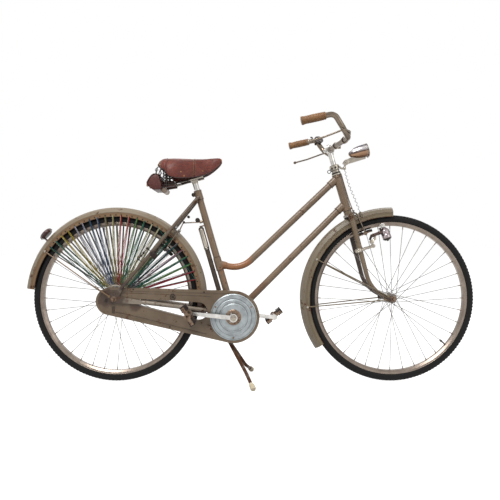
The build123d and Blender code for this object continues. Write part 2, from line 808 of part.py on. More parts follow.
reflector_angle = 138.0
reflector_foot = wheel_point(rear_axle, 394.0, reflector_angle)
reflector_out = reflector_foot - Vector(*rear_axle)
reflector_side = Vector(-sin(radians(reflector_angle)), 0, cos(radians(reflector_angle)))
with BuildPart() as reflector:
    lathe(
        reflector_foot,
        reflector_out,
        [(0, 0), (0, 24.0), (4.0, 29.0), (11.0, 29.0), (16.0, 24.0), (19.0, 12.0), (19.5, 0)],
    )
    bar(
        [
            wheel_point(rear_axle, fender_radius + seat_gap, reflector_angle + 2.6),
            reflector_foot + reflector_side * 18.0 + reflector_out.normalized(),
        ],
        4.0,
    )
save(reflector, "reflector")

# Fork

crown_low = sqrt(fender_radius**2 - (fork_rake - crown_half_depth) ** 2) + seat_gap
crown_foot = steer_foot + steer_up * crown_low
race_foot = crown_foot + steer_up * crown_height
crown_plane = Plane(origin=crown_foot, x_dir=(0, 1, 0), z_dir=steer_up)
blade_start = crown_foot + steer_up * (crown_arm_height + 1.0)
blade_knee = Vector(rear_axle_x + wheelbase - 90.0, 0, front_axle[2] + 22.5)
blade_tip = Vector(front_axle[0] - 30.0, 0, front_axle[2] + 7.5)
blade_in = (blade_knee - blade_start).normalized()
blade_out = (blade_tip - blade_knee).normalized()
with BuildPart() as fork:
    with BuildSketch(crown_plane) as crown:
        Circle(crown_half_depth)
        for side in (-1, 1):
            with Locations((side * blade_y, 0)):
                Circle(blade_top_radius + 1.5)
        make_hull()
    extrude(to_extrude=crown.sketch, amount=crown_arm_height)
    steer_stub = steer_point(headset_top) - race_foot
    disc(crown_foot, steer_up, race_radius, (head_bottom - crown_foot).length - seat_gap)
    disc(race_foot, steer_up, steerer_radius, steer_stub.length)
    for side in (-1, 1):
        turn = radians(blade_in.get_angle(blade_out)) / 2
        tangent = blade_bend_radius * sin(turn) / cos(turn)
        shift = Vector(0, side * blade_y, 0)
        bend_start = blade_knee - blade_in * tangent + shift
        bend_end = blade_knee + blade_out * tangent + shift
        cone(blade_start + shift, bend_start, blade_top_radius, blade_mid_radius)
        with BuildLine() as curve:
            TangentArc(bend_start, bend_end, tangent=blade_in)
        with BuildSketch(Plane(origin=bend_start, z_dir=blade_in)) as wide:
            Circle(blade_mid_radius)
        with BuildSketch(Plane(origin=bend_end, z_dir=blade_out)) as narrow:
            Circle(blade_tip_radius)
        sweep(sections=[wide.sketch.face(), narrow.sketch.face()], path=curve.line, multisection=True)
        inner = front_dropout_inner if side > 0 else -front_dropout_inner - dropout_thickness
        with BuildSketch(Plane(origin=(0, inner, 0), x_dir=(1, 0, 0), z_dir=(0, -1, 0))) as dropout:
            with Locations((front_axle[0], front_axle[2])):
                Circle(11.0)
            with Locations((front_axle[0] - 34.0, front_axle[2] + 8.5)):
                Circle(6.3)
            ear_centre = wheel_point(front_axle, front_ear_reach, front_stay_angles[1])
            with Locations((ear_centre.X, ear_centre.Z)):
                Circle(5.5)
            make_hull()
        extrude(to_extrude=dropout.sketch, amount=-dropout_thickness)
    disc((front_axle[0], -80, front_axle[2]), (0, 1, 0), axle_bore, 160, Mode.SUBTRACT)
save(fork, "fork")

with BuildPart() as front_axle_rod:
    rod_end = front_dropout_inner + dropout_thickness + seat_gap + nut_height + axle_stub
    disc((front_axle[0], -rod_end, front_axle[2]), (0, 1, 0), axle_radius, 2 * rod_end)
    for side in (-1, 1):
        nut_foot = side * (front_dropout_inner + dropout_thickness + seat_gap)
        with BuildSketch(Plane(origin=(front_axle[0], nut_foot, front_axle[2]), z_dir=(0, side, 0))) as nut:
            RegularPolygon(nut_radius, 6)
        extrude(to_extrude=nut.sketch, amount=nut_height)
        lock_foot = side * (front_dropout_inner - seat_gap)
        disc((front_axle[0], lock_foot, front_axle[2]), (0, -side, 0), nut_radius, 7.0)
save(front_axle_rod, "front_axle")

with BuildPart() as headset:
    nut_length = (steer_point(headset_top) - head_top).length - seat_gap
    lathe(
        head_top + steer_up * seat_gap,
        steer_up,
        [
            (0, steerer_radius),
            (0, cup_radius),
            (7.0, cup_radius),
            (9.0, 16.5),
            (nut_length - 17.0, 16.5),
            (nut_length - 17.0, 20.0),
            (nut_length - 3.0, 20.0),
            (nut_length, 17.0),
            (nut_length, steerer_radius),
        ],
    )
save(headset, "headset")

# Handlebar, stem and grips

bar_centre = Vector(335.0, 0.0, 971.0)
bar_points = [
    Vector(374.0, 208.0, 982.0),
    Vector(345.0, 247.0, 1012.0),
    Vector(312.0, 256.0, 1062.0),
    Vector(187.0, 256.0, 1034.0),
]
grip_course = (bar_points[3] - bar_points[2]).normalized()
grip_start = bar_points[2] + grip_course * 34.0
grip_length = (bar_points[3] - grip_start).length
bar_end = bar_points[3] - grip_course * 6.0
left_route = [*bar_points[:3], bar_end]
right_route = [Vector(p.X, -p.Y, p.Z) for p in reversed(left_route)]
with BuildPart() as handlebar:
    bar([*right_route, bar_centre, *left_route], bar_radius, [27.0, 48.0, 27.0, 160.0, 27.0, 48.0, 27.0])
save(handlebar, "handlebar")

with BuildPart() as stem:
    stem_foot = steer_point(headset_top)
    disc(stem_foot, steer_up, 11.0, 58.0)
    lathe(
        (bar_centre.X + 2.5, -17.0, bar_centre.Z + 0.7),
        (0, 1, 0),
        [(0, 0), (0, 15.0), (3.0, 16.5), (31.0, 16.5), (34.0, 15.0), (34.0, 0)],
    )
    disc((bar_centre.X - 18.0, -9.0, bar_centre.Z - 3.0), (0, 1, 0), 7.0, 18.0)
    add(handlebar.part, mode=Mode.SUBTRACT)
save(stem, "stem")

with BuildPart() as grips:
    for side in (-1, 1):
        origin = Vector(grip_start.X, side * grip_start.Y, grip_start.Z)
        lathe(
            origin,
            Vector(grip_course.X, side * grip_course.Y, grip_course.Z),
            [
                (0, 0),
                (0, 14.0),
                (4.0, grip_radius - 1.0),
                (grip_length * 0.5, grip_radius - 1.5),
                (grip_length * 0.8, grip_radius),
                (grip_length - 4.0, grip_radius - 1.5),
                (grip_length, grip_radius - 6.0),
                (grip_length, 0),
            ],
        )
    add(handlebar.part, mode=Mode.SUBTRACT)
save(grips, "grips")

# Rod brakes

lever_route = [
    Vector(383.0, 190.0, 996.0),
    Vector(374.0, 238.0, 999.0),
    Vector(348.0, 267.0, 1001.0),
    Vector(273.0, 262.0, 973.0),
    Vector(216.0, 258.0, 957.0),
]
cross_rod_end = Vector(360.0, 45.0, 990.0)
with BuildPart() as brake_levers:
    for side in (-1, 1):
        mirrored = [Vector(p.X, side * p.Y, p.Z) for p in (cross_rod_end, *lever_route)]
        bar(mirrored, lever_radius, [14.0, 25.0, 25.0, 60.0])
        tip_course = (mirrored[-1] - mirrored[-2]).normalized()
        lathe(
            mirrored[-1] - tip_course * 4.0,
            tip_course,
            [(0, 0), (0, 5.0), (3.0, 6.5), (8.0, 6.5), (12.0, 3.0), (12.0, 0)],
        )
        for clamp_share in (0.35, 0.8):
            bar_spot = bar_centre + (bar_points[0] - bar_centre) * clamp_share
            spot = Vector(bar_spot.X, side * bar_spot.Y, bar_spot.Z)
            course = Vector(bar_points[0].X - bar_centre.X, side * bar_points[0].Y, bar_points[0].Z - bar_centre.Z)
            ring_bore = bar_radius + 0.1
            lathe(
                spot - course.normalized() * 5.0,
                course,
                [(0, ring_bore), (0, bar_radius + 3.0), (10.0, bar_radius + 3.0), (10.0, ring_bore)],
            )
            rod_spot = cross_rod_end + (lever_route[0] - cross_rod_end) * ((bar_spot.Y - 45.0) / 145.0)
            ear = Vector(rod_spot.X, side * rod_spot.Y, rod_spot.Z)
            bar([spot + (ear - spot).normalized() * (bar_radius + 1.5), ear], 4.0)
    add(handlebar.part, mode=Mode.SUBTRACT)
save(brake_levers, "brake_levers")

shoe_reach = rim_inner_radius - 1.0
front_shoe_angle = 112.0
front_pull_top = Vector(438.0, 0.0, 705.0)
with BuildPart() as front_brake:
    shoe = wheel_point(front_axle, shoe_reach - 6.0, front_shoe_angle)
    for side in (-1, 1):
        bar(
            [
                Vector(front_pull_top.X, side * 6.0, front_pull_top.Z),
                Vector(front_pull_top.X + 3.0, side * 36.0, front_pull_top.Z - 3.0),
                Vector(shoe.X, side * 34.0, shoe.Z - 3.0),
                Vector(shoe.X, side * 12.0, shoe.Z),
            ],
            3.0,
            [10.0, 9.0],
        )
    disc((front_pull_top.X, -9.0, front_pull_top.Z), (0, 1, 0), 4.5, 18.0)
    disc((front_pull_top.X - 8.0, 0.0, front_pull_top.Z), (1, 0, 0), 4.0, 8.0)
    add(fork.part, mode=Mode.SUBTRACT)
save(front_brake, "front_brake")

# Lamp, bell and dynamo

lamp_course = Vector(cos(radians(lamp_tilt)), 0, sin(radians(lamp_tilt)))
lamp_back = Vector(*lamp_centre) - lamp_course * (lamp_length * 0.55)
lamp_front = lamp_length - 8.0
with BuildPart() as headlamp:
    lathe(
        lamp_back,
        lamp_course,
        [
            (0, 0),
            (1.0, 5.0),
            (lamp_length * 0.06, 11.0),
            (lamp_length * 0.14, 16.5),
            (lamp_length * 0.26, 21.5),
            (lamp_length * 0.40, 25.0),
            (lamp_length * 0.56, 27.3),
            (lamp_length * 0.72, lamp_radius),
            (lamp_front - 5.0, lamp_radius),
            (lamp_front, lamp_radius - 0.5),
            (lamp_front, 0),
        ],
    )
save(headlamp, "headlamp")

with BuildPart() as lamp_glass:
    lathe(
        lamp_back + lamp_course * (lamp_front + seat_gap),
        lamp_course,
        [(0, 0), (0, lamp_radius + 0.8), (3.0, lamp_radius + 0.8), (5.0, lamp_radius - 3.0), (8.0, 12.0), (8.5, 0)],
    )
save(lamp_glass, "lamp_glass")

lamp_clamp = Vector(404.0, 0.0, 918.0)
with BuildPart() as lamp_bracket:
    disc(lamp_clamp - Vector(0, 10, 0), (0, 1, 0), 11.0, 20.0)
    with BuildSketch(Plane(origin=(0, 6.0, 0), x_dir=(1, 0, 0), z_dir=(0, -1, 0))) as wedge:
        with Locations((lamp_clamp.X, lamp_clamp.Z)):
            Circle(9.0)
        with Locations((lamp_centre[0] + 22.0, lamp_centre[2] - 27.0)):
            Circle(3.0)
        with Locations((lamp_centre[0] - 24.0, lamp_centre[2] - 20.0)):
            Circle(3.0)
        make_hull()
    extrude(to_extrude=wedge.sketch, amount=12.0)
    bar(
        [
            steer_point(897.0) + steer_front * 19.0,
            Vector(394.0, 0, 884.0),
            lamp_clamp,
        ],
        4.0,
        10.0,
    )
    add(headlamp.part, mode=Mode.SUBTRACT)
    add(headset.part, mode=Mode.SUBTRACT)
    wire_out = (wire_route[1] - wire_route[0]).normalized()
    disc(wire_route[0] - wire_out * 11.0, wire_out, wire_boss_radius, 11.0)
save(lamp_bracket, "lamp_bracket")

bell_at = Vector(319.0, 253.0, 1046.0)
bell_course = Vector(0.2, -0.68, 0.7)
with BuildPart() as bell:
    lathe(
        bell_at,
        bell_course,
        [(0, 0), (0, 6.0), (19.0, 6.0), (19.0, 22.0), (23.0, 22.5), (31.0, 17.5), (35.5, 8.0), (36.5, 0)],
    )
    add(handlebar.part, mode=Mode.SUBTRACT)
save(bell, "bell")

dynamo_centre = Vector(557.0, -45.0, 623.0)
dynamo_course = Vector(-0.28, 0.22, 0.93).normalized()
with BuildPart() as dynamo:
    lathe(
        dynamo_centre - dynamo_course * 34.0,
        dynamo_course,
        [(0, 0), (0, 12.0), (6.0, 19.0), (40.0, 19.0), (48.0, 12.0), (54.0, 7.0), (54.0, 10.0), (72.0, 10.0), (72.0, 0)],
    )
    clamp_at = Vector(448.0, -blade_y, 548.0)
    bar([dynamo_centre, Vector(505.0, -62.0, 610.0), clamp_at + Vector(12, -8, 4)], 6.0, 20.0)
    lathe(
        clamp_at - steer_up * 7.0,
        steer_up,
        [(0, 0), (0, 15.0), (14.0, 15.0), (14.0, 0)],
    )
    add(fork.part, mode=Mode.SUBTRACT)
save(dynamo, "dynamo")

# Saddle

saddle_sections = [
    (-384.0, 62.0, 890.0, 920.0),
    (-345.0, 97.0, 852.0, 933.0),
    (-295.0, 92.0, 843.0, 934.0),
    (-240.0, 60.0, 848.0, 933.0),
    (-188.0, 31.0, 873.0, 933.0),
    (-140.0, 20.0, 902.0, 936.0),
    (-118.0, 10.0, 918.0, 931.0),
]
saddle_skin = 4.5


def saddle_section(x, half_width, low, high, inset):
    """Saddle cross-section at one place: a crown over two falling sides."""
    width = half_width - inset
    top = high - inset
    foot = low - 3.0 * inset
    rise = top - foot
    side = [
        (width, foot),
        (width, foot + rise * 0.35),
        (width * 0.94, foot + rise * 0.62),
        (width * 0.75, foot + rise * 0.84),
        (width * 0.42, foot + rise * 0.96),
    ]
    mirrored = [(-across, up) for across, up in reversed(side)]
    with BuildSketch(Plane(origin=(x, 0, 0), x_dir=(0, 1, 0), z_dir=(1, 0, 0))) as section:
        with BuildLine():
            Polyline(*side, (0, top), *mirrored, close=True)
        make_face()
    return section.sketch.face()


with BuildPart() as saddle_leather:
    loft(sections=[saddle_section(*place, 0.0) for place in saddle_sections], ruled=True)
    inner_places = [saddle_section(*place, saddle_skin) for place in saddle_sections[:-1]]
    loft(sections=inner_places, ruled=True, mode=Mode.SUBTRACT)
save(saddle_leather, "saddle_leather")

seat_clamp = seat_point(seat_clamp_height)
with BuildPart() as seat_post:
    post_foot = seat_lug_top - seat_up * 84.0
    disc(post_foot, seat_up, seat_post_radius, (seat_clamp - post_foot).length - 12.0)
save(seat_post, "seat_post")

spring_x = -345.0
spring_low = 822.0
spring_high = 882.0
spring_turns = 5
with BuildPart() as saddle_frame:
    lathe(
        (seat_clamp.X, -26.0, seat_clamp.Z),
        (0, 1, 0),
        [(0, 0), (0, 12.0), (52.0, 12.0), (52.0, 0)],
    )
    for side in (-1, 1):
        bar(
            [
                Vector(-134.0, side * 7.0, 908.0),
                Vector(seat_clamp.X, side * 22.0, seat_clamp.Z - 2.0),
                Vector(spring_x, side * 55.0, spring_low - 3.0),
            ],
            3.5,
            30.0,
        )
        pitch = (spring_high - spring_low) / spring_turns
        for turn in range(spring_turns + 1):
            lathe(
                (spring_x, side * 55.0, spring_low + pitch * turn - 2.6),
                (0, 0, 1),
                [(0, 10.5), (0, 15.5), (5.2, 15.5), (5.2, 10.5)],
            )
        disc((spring_x, side * 55.0, spring_low - 4.0), (0, 0, 1), 11.0, spring_high - spring_low + 8.0)
        bar([Vector(spring_x, side * 55.0, spring_high + 4.0), Vector(-383.0, side * 44.0, 896.0)], 4.0)
    bar([Vector(spring_x, -62.0, spring_high + 4.0), Vector(spring_x, 62.0, spring_high + 4.0)], 4.0)
    add(seat_post.part, mode=Mode.SUBTRACT)
    add(saddle_leather.part, mode=Mode.SUBTRACT)
save(saddle_frame, "saddle_frame")

bag_depth = 62.0
bag_height = 64.0
bag_low = 797.0
bag_corner = 20.0
bag_front = spring_x - 15.5 - seat_gap
tin_radius = 12.0
tin_length = 92.0
tin_rise = 0.0
tin_run = sqrt((bag_corner + tin_radius + seat_gap) ** 2 - (bag_corner - tin_rise) ** 2)
with BuildPart() as tool_bag:
    with BuildSketch(Plane(origin=(0, -75.0, 0), x_dir=(1, 0, 0), z_dir=(0, -1, 0))) as bag_side:
        with Locations((bag_front - bag_depth / 2, bag_low + bag_height / 2)):
            RectangleRounded(bag_depth, bag_height, bag_corner)
    extrude(to_extrude=bag_side.sketch, amount=-150.0)
save(tool_bag, "tool_bag")

with BuildPart() as tool_tube:
    tin_at = bag_front - bag_corner + tin_run
    disc((tin_at, -tin_length / 2, bag_low + tin_rise), (0, 1, 0), tin_radius, tin_length)
save(tool_tube, "tool_tube")

# Pump behind the seat tube

with BuildPart() as pump:
    lathe(
        Vector(*bracket) + seat_up * pump_bottom + seat_back * pump_offset,
        seat_up,
        [
            (0, 0),
            (0, 8.0),
            (4.0, 10.0),
            (228.0, 10.0),
            (232.0, 11.5),
            (pump_top - pump_bottom - 6.0, 11.5),
            (pump_top - pump_bottom, 8.0),
            (pump_top - pump_bottom, 0),
        ],
    )
save(pump, "pump")

# Rear brake

crank_pivot = seat_point(674.0) + seat_back * (seat_tube_radius + 12.0)
rear_shoe_angle = 44.2
rear_shoe = wheel_point(rear_axle, shoe_reach - 8.0, rear_shoe_angle)
rear_yoke = wheel_point(rear_axle, fender_radius + 9.0, rear_shoe_angle + 3.0)
with BuildPart() as rear_brake:
    disc(seat_point(674.0), seat_back, 6.0, seat_tube_radius + 14.0)
    disc(Vector(crank_pivot.X, -5.0, crank_pivot.Z), (0, 1, 0), 6.0, 10.0)
    bar([crank_pivot, Vector(-282.0, 0, 663.0), rear_yoke], 2.5, 10.0)
    for side in (-1, 1):
        bar(
            [
                rear_yoke,
                rear_yoke + Vector(0, side * 38.0, 0),
                Vector(rear_shoe.X, side * 38.0, rear_shoe.Z),
                Vector(rear_shoe.X, side * 14.0, rear_shoe.Z),
            ],
            2.5,
            [8.0, 8.0],
        )
    add(seat_tube.part, mode=Mode.SUBTRACT)
save(rear_brake, "rear_brake")

# Cord skirt guards


def build_guard(side, hub_reach, hub_y, name):
    """Fan of cords from the mudguard's edge to a ring near the axle."""
    edge_y = fender_half_width + seat_gap + guard_cord_radius
    with BuildPart() as guard:
        for index in range(guard_cords):
            share = index / (guard_cords - 1)
            angle = guard_first_angle + (guard_last_angle - guard_first_angle) * share
            start = wheel_point(rear_axle, hub_reach, angle, side * hub_y)
            end = wheel_point(rear_axle, fender_edge_radius + 6.0, angle, side * edge_y)
            with BuildSketch(Plane(origin=start, z_dir=end - start)) as section:
                RegularPolygon(guard_cord_radius, 6)
            extrude(to_extrude=section.sketch, amount=(end - start).length)
        inner_face = hub_y - guard_cord_radius
        outer_face = hub_y + guard_cord_radius
        ring(
            rear_axle,
            [
                (hub_reach - 3.0, side * inner_face),
                (hub_reach + 2.0, side * inner_face),
                (hub_reach + 2.0, side * outer_face),
                (hub_reach - 3.0, side * outer_face),
            ],
            guard_first_angle - 3.0 if side < 0 else 0.0,
            guard_last_angle - guard_first_angle + 6.0 if side < 0 else 360.0,
        )
        if side > 0:
            disc((rear_axle[0], inner_face, rear_axle[2]), (0, 1, 0), hub_reach, 2 * guard_cord_radius)
            disc((rear_axle[0], 0, rear_axle[2]), (0, 1, 0), axle_bore, 80, Mode.SUBTRACT)
    save(guard, name)


guard_right_y = case_inner - seat_gap - guard_cord_radius
guard_left_y = rear_dropout_inner - seat_gap * 2 - 7.0 - guard_cord_radius
build_guard(-1, 58.0, guard_right_y, "skirt_guard_right")
build_guard(1, 24.0, guard_left_y, "skirt_guard_left")

# Curly lamp wire, as its outer tube

wire_bends = []
for before, corner, after in zip(wire_route, wire_route[1:], wire_route[2:]):
    turn = radians((corner - before).get_angle(after - corner))
    shorter = min((corner - before).length, (after - corner).length)
    wire_bends.append(0.45 * shorter / (sin(turn / 2) / cos(turn / 2)))
print("lamp wire bend radii", [round(bend, 1) for bend in wire_bends])
with BuildPart() as lamp_wire:
    bar(wire_route, wire_radius, wire_bends)
save(lamp_wire, "lamp_wire")
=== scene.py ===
"""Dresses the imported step-through bicycle with finishes, soft pieces, cords and small parts."""

import random
from math import cos, pi, radians, sin

import bpy
from bpy.props import FloatProperty, FloatVectorProperty, IntProperty, PointerProperty
from mathutils import Matrix, Vector


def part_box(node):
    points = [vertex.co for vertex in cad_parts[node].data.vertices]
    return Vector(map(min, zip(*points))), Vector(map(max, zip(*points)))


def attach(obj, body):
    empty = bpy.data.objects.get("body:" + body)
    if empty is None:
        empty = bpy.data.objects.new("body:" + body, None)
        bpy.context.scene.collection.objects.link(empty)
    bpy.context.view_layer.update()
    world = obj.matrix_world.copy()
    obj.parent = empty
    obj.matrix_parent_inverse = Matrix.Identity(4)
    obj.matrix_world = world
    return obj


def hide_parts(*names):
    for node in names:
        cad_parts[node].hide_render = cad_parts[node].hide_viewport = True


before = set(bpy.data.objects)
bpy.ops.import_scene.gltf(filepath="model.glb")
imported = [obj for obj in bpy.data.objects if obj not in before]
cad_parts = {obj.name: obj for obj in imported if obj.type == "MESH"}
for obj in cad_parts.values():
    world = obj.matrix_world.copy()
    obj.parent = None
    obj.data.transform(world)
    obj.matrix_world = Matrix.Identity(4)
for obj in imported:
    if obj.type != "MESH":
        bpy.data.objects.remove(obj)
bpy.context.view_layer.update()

bl_info = {
    "name": "Step-through bicycle",
    "version": (1, 0, 0),
    "blender": (4, 5, 0),
    "location": "View3D > Sidebar > Bicycle",
    "description": "Dresses a packed step-through roadster with finishes, tyres, saddle and cord guards",
    "category": "Add Mesh",
}


def box_centre(node):
    """Middle of a CAD node's box."""
    low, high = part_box(node)
    return (Vector(low) + Vector(high)) / 2


REAR_AXLE = box_centre("rear_tyre")
FRONT_AXLE = box_centre("front_tyre")
BRACKET = box_centre("disc_cover")
BRACKET.y = 0.0
BRACKET_HEIGHT = 0.274
HEAD_ANGLE = radians(73.5)
STEER_UP = Vector((-cos(HEAD_ANGLE), 0, sin(HEAD_ANGLE)))
STEER_FRONT = Vector((sin(HEAD_ANGLE), 0, cos(HEAD_ANGLE)))
STEER_FOOT = FRONT_AXLE - STEER_FRONT * 0.0687
SEAT_ANGLE = radians(73.8)
SEAT_UP = Vector((-cos(SEAT_ANGLE), 0, sin(SEAT_ANGLE)))
ACROSS = Vector((0, 1, 0))
NEAR = (0, -1, 0)
TYRE_RADIUS = 0.348


def wheel_point(axle, radius, degrees, across=0.0):
    """Point at this radius and angle about an axle; 0 degrees points forward, 90 up."""
    turn = radians(degrees)
    return Vector((axle.x + radius * cos(turn), across, axle.z + radius * sin(turn)))


def steer_point(height):
    """Point on the steering axis at this height in metres."""
    return STEER_FOOT + STEER_UP * ((height - STEER_FOOT.z) / STEER_UP.z)


# Modelling


def deselect():
    for obj in list(bpy.context.selected_objects):
        obj.select_set(False)


def activate(obj):
    """Selects one object and makes it the active one."""
    deselect()
    obj.select_set(True)
    bpy.context.view_layer.objects.active = obj
    return obj


def settle(obj, smooth=35.0):
    """Puts an object's place into its mesh, with smooth shading below an angle."""
    activate(obj)
    bpy.ops.object.transform_apply(location=True, rotation=True, scale=True)
    bpy.ops.object.shade_smooth_by_angle(angle=radians(smooth))
    return obj


def aim(direction):
    """Turn that brings Z onto a direction."""
    return Vector(direction).to_track_quat("Z", "Y").to_euler()


def rounded(obj, width, segments=2):
    """Rounds an object's sharp edges."""
    activate(obj)
    bevel = obj.modifiers.new("round", "BEVEL")
    bevel.width = width
    bevel.segments = segments
    bevel.limit_method = "ANGLE"
    bpy.ops.object.modifier_apply(modifier=bevel.name)
    return obj


def cylinder(place, direction, radius, length, sides=24, bevel=0.0):
    """Round or many-sided rod that starts at a place and runs along a direction."""
    deselect()
    middle = Vector(place) + Vector(direction).normalized() * length / 2
    bpy.ops.mesh.primitive_cylinder_add(
        vertices=sides, radius=radius, depth=length, location=middle, rotation=aim(direction)
    )
    obj = bpy.context.object
    if bevel:
        rounded(obj, bevel)
    return obj


def block(place, size, turn=(0, 0, 0), bevel=0.001):
    """Box with rounded edges."""
    deselect()
    bpy.ops.mesh.primitive_cube_add(size=1, location=place, rotation=turn)
    obj = bpy.context.object
    obj.scale = size
    bpy.ops.object.transform_apply(location=False, rotation=False, scale=True)
    return rounded(obj, bevel)


def ball(place, radius, scale=(1, 1, 1), rings=12):
    """Ball, or an egg when its scale differs along the axes."""
    deselect()
    bpy.ops.mesh.primitive_uv_sphere_add(segments=rings * 2, ring_count=rings, radius=radius, location=place)
    obj = bpy.context.object
    obj.scale = scale
    return obj


def hoop(place, direction, radius, thickness, sides=48, round_sides=10):
    """Ring of round wire about a direction."""
    deselect()
    bpy.ops.mesh.primitive_torus_add(
        major_segments=sides,
        minor_segments=round_sides,
        major_radius=radius,
        minor_radius=thickness,
        location=place,
        rotation=aim(direction),
    )
    return bpy.context.object


def turned(place, direction, profile, steps=32):
    """Turned piece: a line of (along, radius) corners spun about the line from a place."""
    deselect()
    bpy.ops.mesh.primitive_plane_add(size=0.001, location=(0, 0, 0))
    obj = bpy.context.object
    bpy.ops.object.mode_set(mode="EDIT")
    bpy.ops.mesh.merge(type="CENTER")
    along, radius = profile[0]
    bpy.ops.transform.translate(value=(radius, 0, along))
    for (along, radius), (last_along, last_radius) in zip(profile[1:], profile):
        step = (radius - last_radius, 0, along - last_along)
        bpy.ops.mesh.extrude_vertices_move(TRANSFORM_OT_translate={"value": step})
    bpy.ops.mesh.select_all(action="SELECT")
    bpy.ops.mesh.spin(steps=steps, angle=2 * pi, center=(0, 0, 0), axis=(0, 0, 1))
    bpy.ops.mesh.select_all(action="SELECT")
    bpy.ops.mesh.remove_doubles(threshold=0.00002)
    bpy.ops.mesh.normals_make_consistent(inside=False)
    bpy.ops.object.mode_set(mode="OBJECT")
    obj.location = place
    obj.rotation_euler = aim(direction)
    return obj


def route_curve(points, order=3, cyclic=False):
    """Smooth curve through the space near a line of points."""
    data = bpy.data.curves.new("route", "CURVE")
    data.dimensions = "3D"
    spline = data.splines.new("NURBS")
    spline.points.add(len(points) - 1)
    for point, place in zip(spline.points, points):
        point.co = (*place, 1.0)
    spline.order_u = order
    spline.use_endpoint_u = not cyclic
    spline.use_cyclic_u = cyclic
    obj = bpy.data.objects.new("route", data)
    bpy.context.collection.objects.link(obj)
    return obj


def wire(points, radius, sides=2, order=3, cyclic=False):
    """Round wire along a smooth route, as a mesh."""
    obj = route_curve(points, order, cyclic)
    obj.data.bevel_depth = radius
    obj.data.bevel_resolution = sides
    obj.data.resolution_u = 8
    obj.data.use_fill_caps = True
    activate(obj)
    bpy.ops.object.convert(target="MESH")
    return bpy.context.object


def ring_about(centre, side, out, radius, corners, phase=0.0):
    """Ring of points about a centre, in the plane of two directions."""
    ring = []
    for corner in range(corners):
        turn = corner * 2 * pi / corners + phase
        ring.append(centre + (side * cos(turn) + out * sin(turn)) * radius)
    return ring


def ring_faces(base, rings):
    """Faces between rings of points, whose first point has the number base."""
    count = len(rings[0])
    faces = []
    for row in range(len(rings) - 1):
        for column in range(count):
            a = base + row * count + column
            b = base + row * count + (column + 1) % count
            faces.append((a, b, b + count, a + count))
    return faces


def mesh_object(name, points, faces):
    """Object whose mesh has these points and faces."""
    data = bpy.data.meshes.new(name)
    data.from_pydata([tuple(point) for point in points], [], faces)
    data.update()
    obj = bpy.data.objects.new(name, data)
    bpy.context.collection.objects.link(obj)
    return obj


def polyline_mesh(name, rings):
    """Closed tube mesh from rings of points, one after another."""
    count = len(rings[0])
    points = [point for row in rings for point in row]
    faces = ring_faces(0, rings)
    faces.append(tuple(reversed(range(count))))
    last = (len(rings) - 1) * count
    faces.append(tuple(range(last, last + count)))
    return mesh_object(name, points, faces)


def joined(name, parts, smooth=35.0):
    """Joins parts into one finished piece under a plain name."""
    for part in parts:
        settle(part, smooth)
    deselect()
    for part in parts:
        part.select_set(True)
    bpy.context.view_layer.objects.active = parts[0]
    if len(parts) > 1:
        bpy.ops.object.join()
    obj = bpy.context.object
    obj.name = name
    obj.data.name = name
    return obj


def dress(obj, finish, body):
    """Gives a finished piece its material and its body."""
    obj.data.materials.clear()
    obj.data.materials.append(finish)
    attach(obj, body)
    return obj


def assemble(name, parts, smooth, finish, body):
    """Joins parts into one piece and gives it its finish and body."""
    return dress(joined(name, parts, smooth), FINISHES[finish], body)


def around(obj, centre, axis, count, step_degrees):
    """Repeats a piece about an axis, each copy turned on by one step."""
    settle(obj)
    turn = Matrix.Rotation(radians(step_degrees), 4, Vector(axis))
    step = bpy.data.objects.new("step", None)
    bpy.context.collection.objects.link(step)
    step.matrix_world = Matrix.Translation(Vector(centre) - turn.to_3x3() @ Vector(centre)) @ turn
    bpy.context.view_layer.update()
    array = obj.modifiers.new("around", "ARRAY")
    array.use_relative_offset = False
    array.use_object_offset = True
    array.offset_object = step
    array.count = count
    activate(obj)
    bpy.ops.object.modifier_apply(modifier=array.name)
    bpy.data.objects.remove(step)
    return obj


def bolt(place, direction, radius=0.0045, height=0.003, shank=0.0):
    """Six-sided bolt head on a washer, with its shank's end if it has a length."""
    direction = Vector(direction).normalized()
    pieces = [
        cylinder(place, direction, radius * 1.45, 0.0012, 24),
        cylinder(Vector(place) + direction * 0.0012, direction, radius, height, 6, 0.0005),
    ]
    if shank:
        foot = Vector(place) + direction * height
        pieces.append(cylinder(foot, direction, radius * 0.5, shank, 16, 0.0004))
    return pieces


def screw(place, direction, radius=0.004):
    """Domed screw head."""
    direction = Vector(direction).normalized()
    profile = [(0, radius), (0.0006, radius), (0.0014, radius * 0.75), (0.0018, radius * 0.3), (0.0018, 0)]
    return [turned(place, direction, profile, 16)]


# Shading


class Value:
    """A shader socket that sums and products turn into Math nodes."""

    def __init__(self, shader, socket):
        self.shader = shader
        self.socket = socket

    def combine(self, operation, first, second):
        return self.shader.node("ShaderNodeMath", {"operation": operation}, {0: first, 1: second})

    def __add__(self, other):
        return self.combine("ADD", self, other)

    def __sub__(self, other):
        return self.combine("SUBTRACT", self, other)

    def __mul__(self, other):
        return self.combine("MULTIPLY", self, other)

    def __rsub__(self, other):
        return self.combine("SUBTRACT", other, self)

    def above(self, edge, softness):
        """Soft step that rises from 0 to 1 round an edge."""
        low = edge - softness
        return self.shader.node(
            "ShaderNodeMapRange",
            {"interpolation_type": "SMOOTHSTEP"},
            {"Value": self, "From Min": low, "From Max": edge + softness},
            "Result",
        )


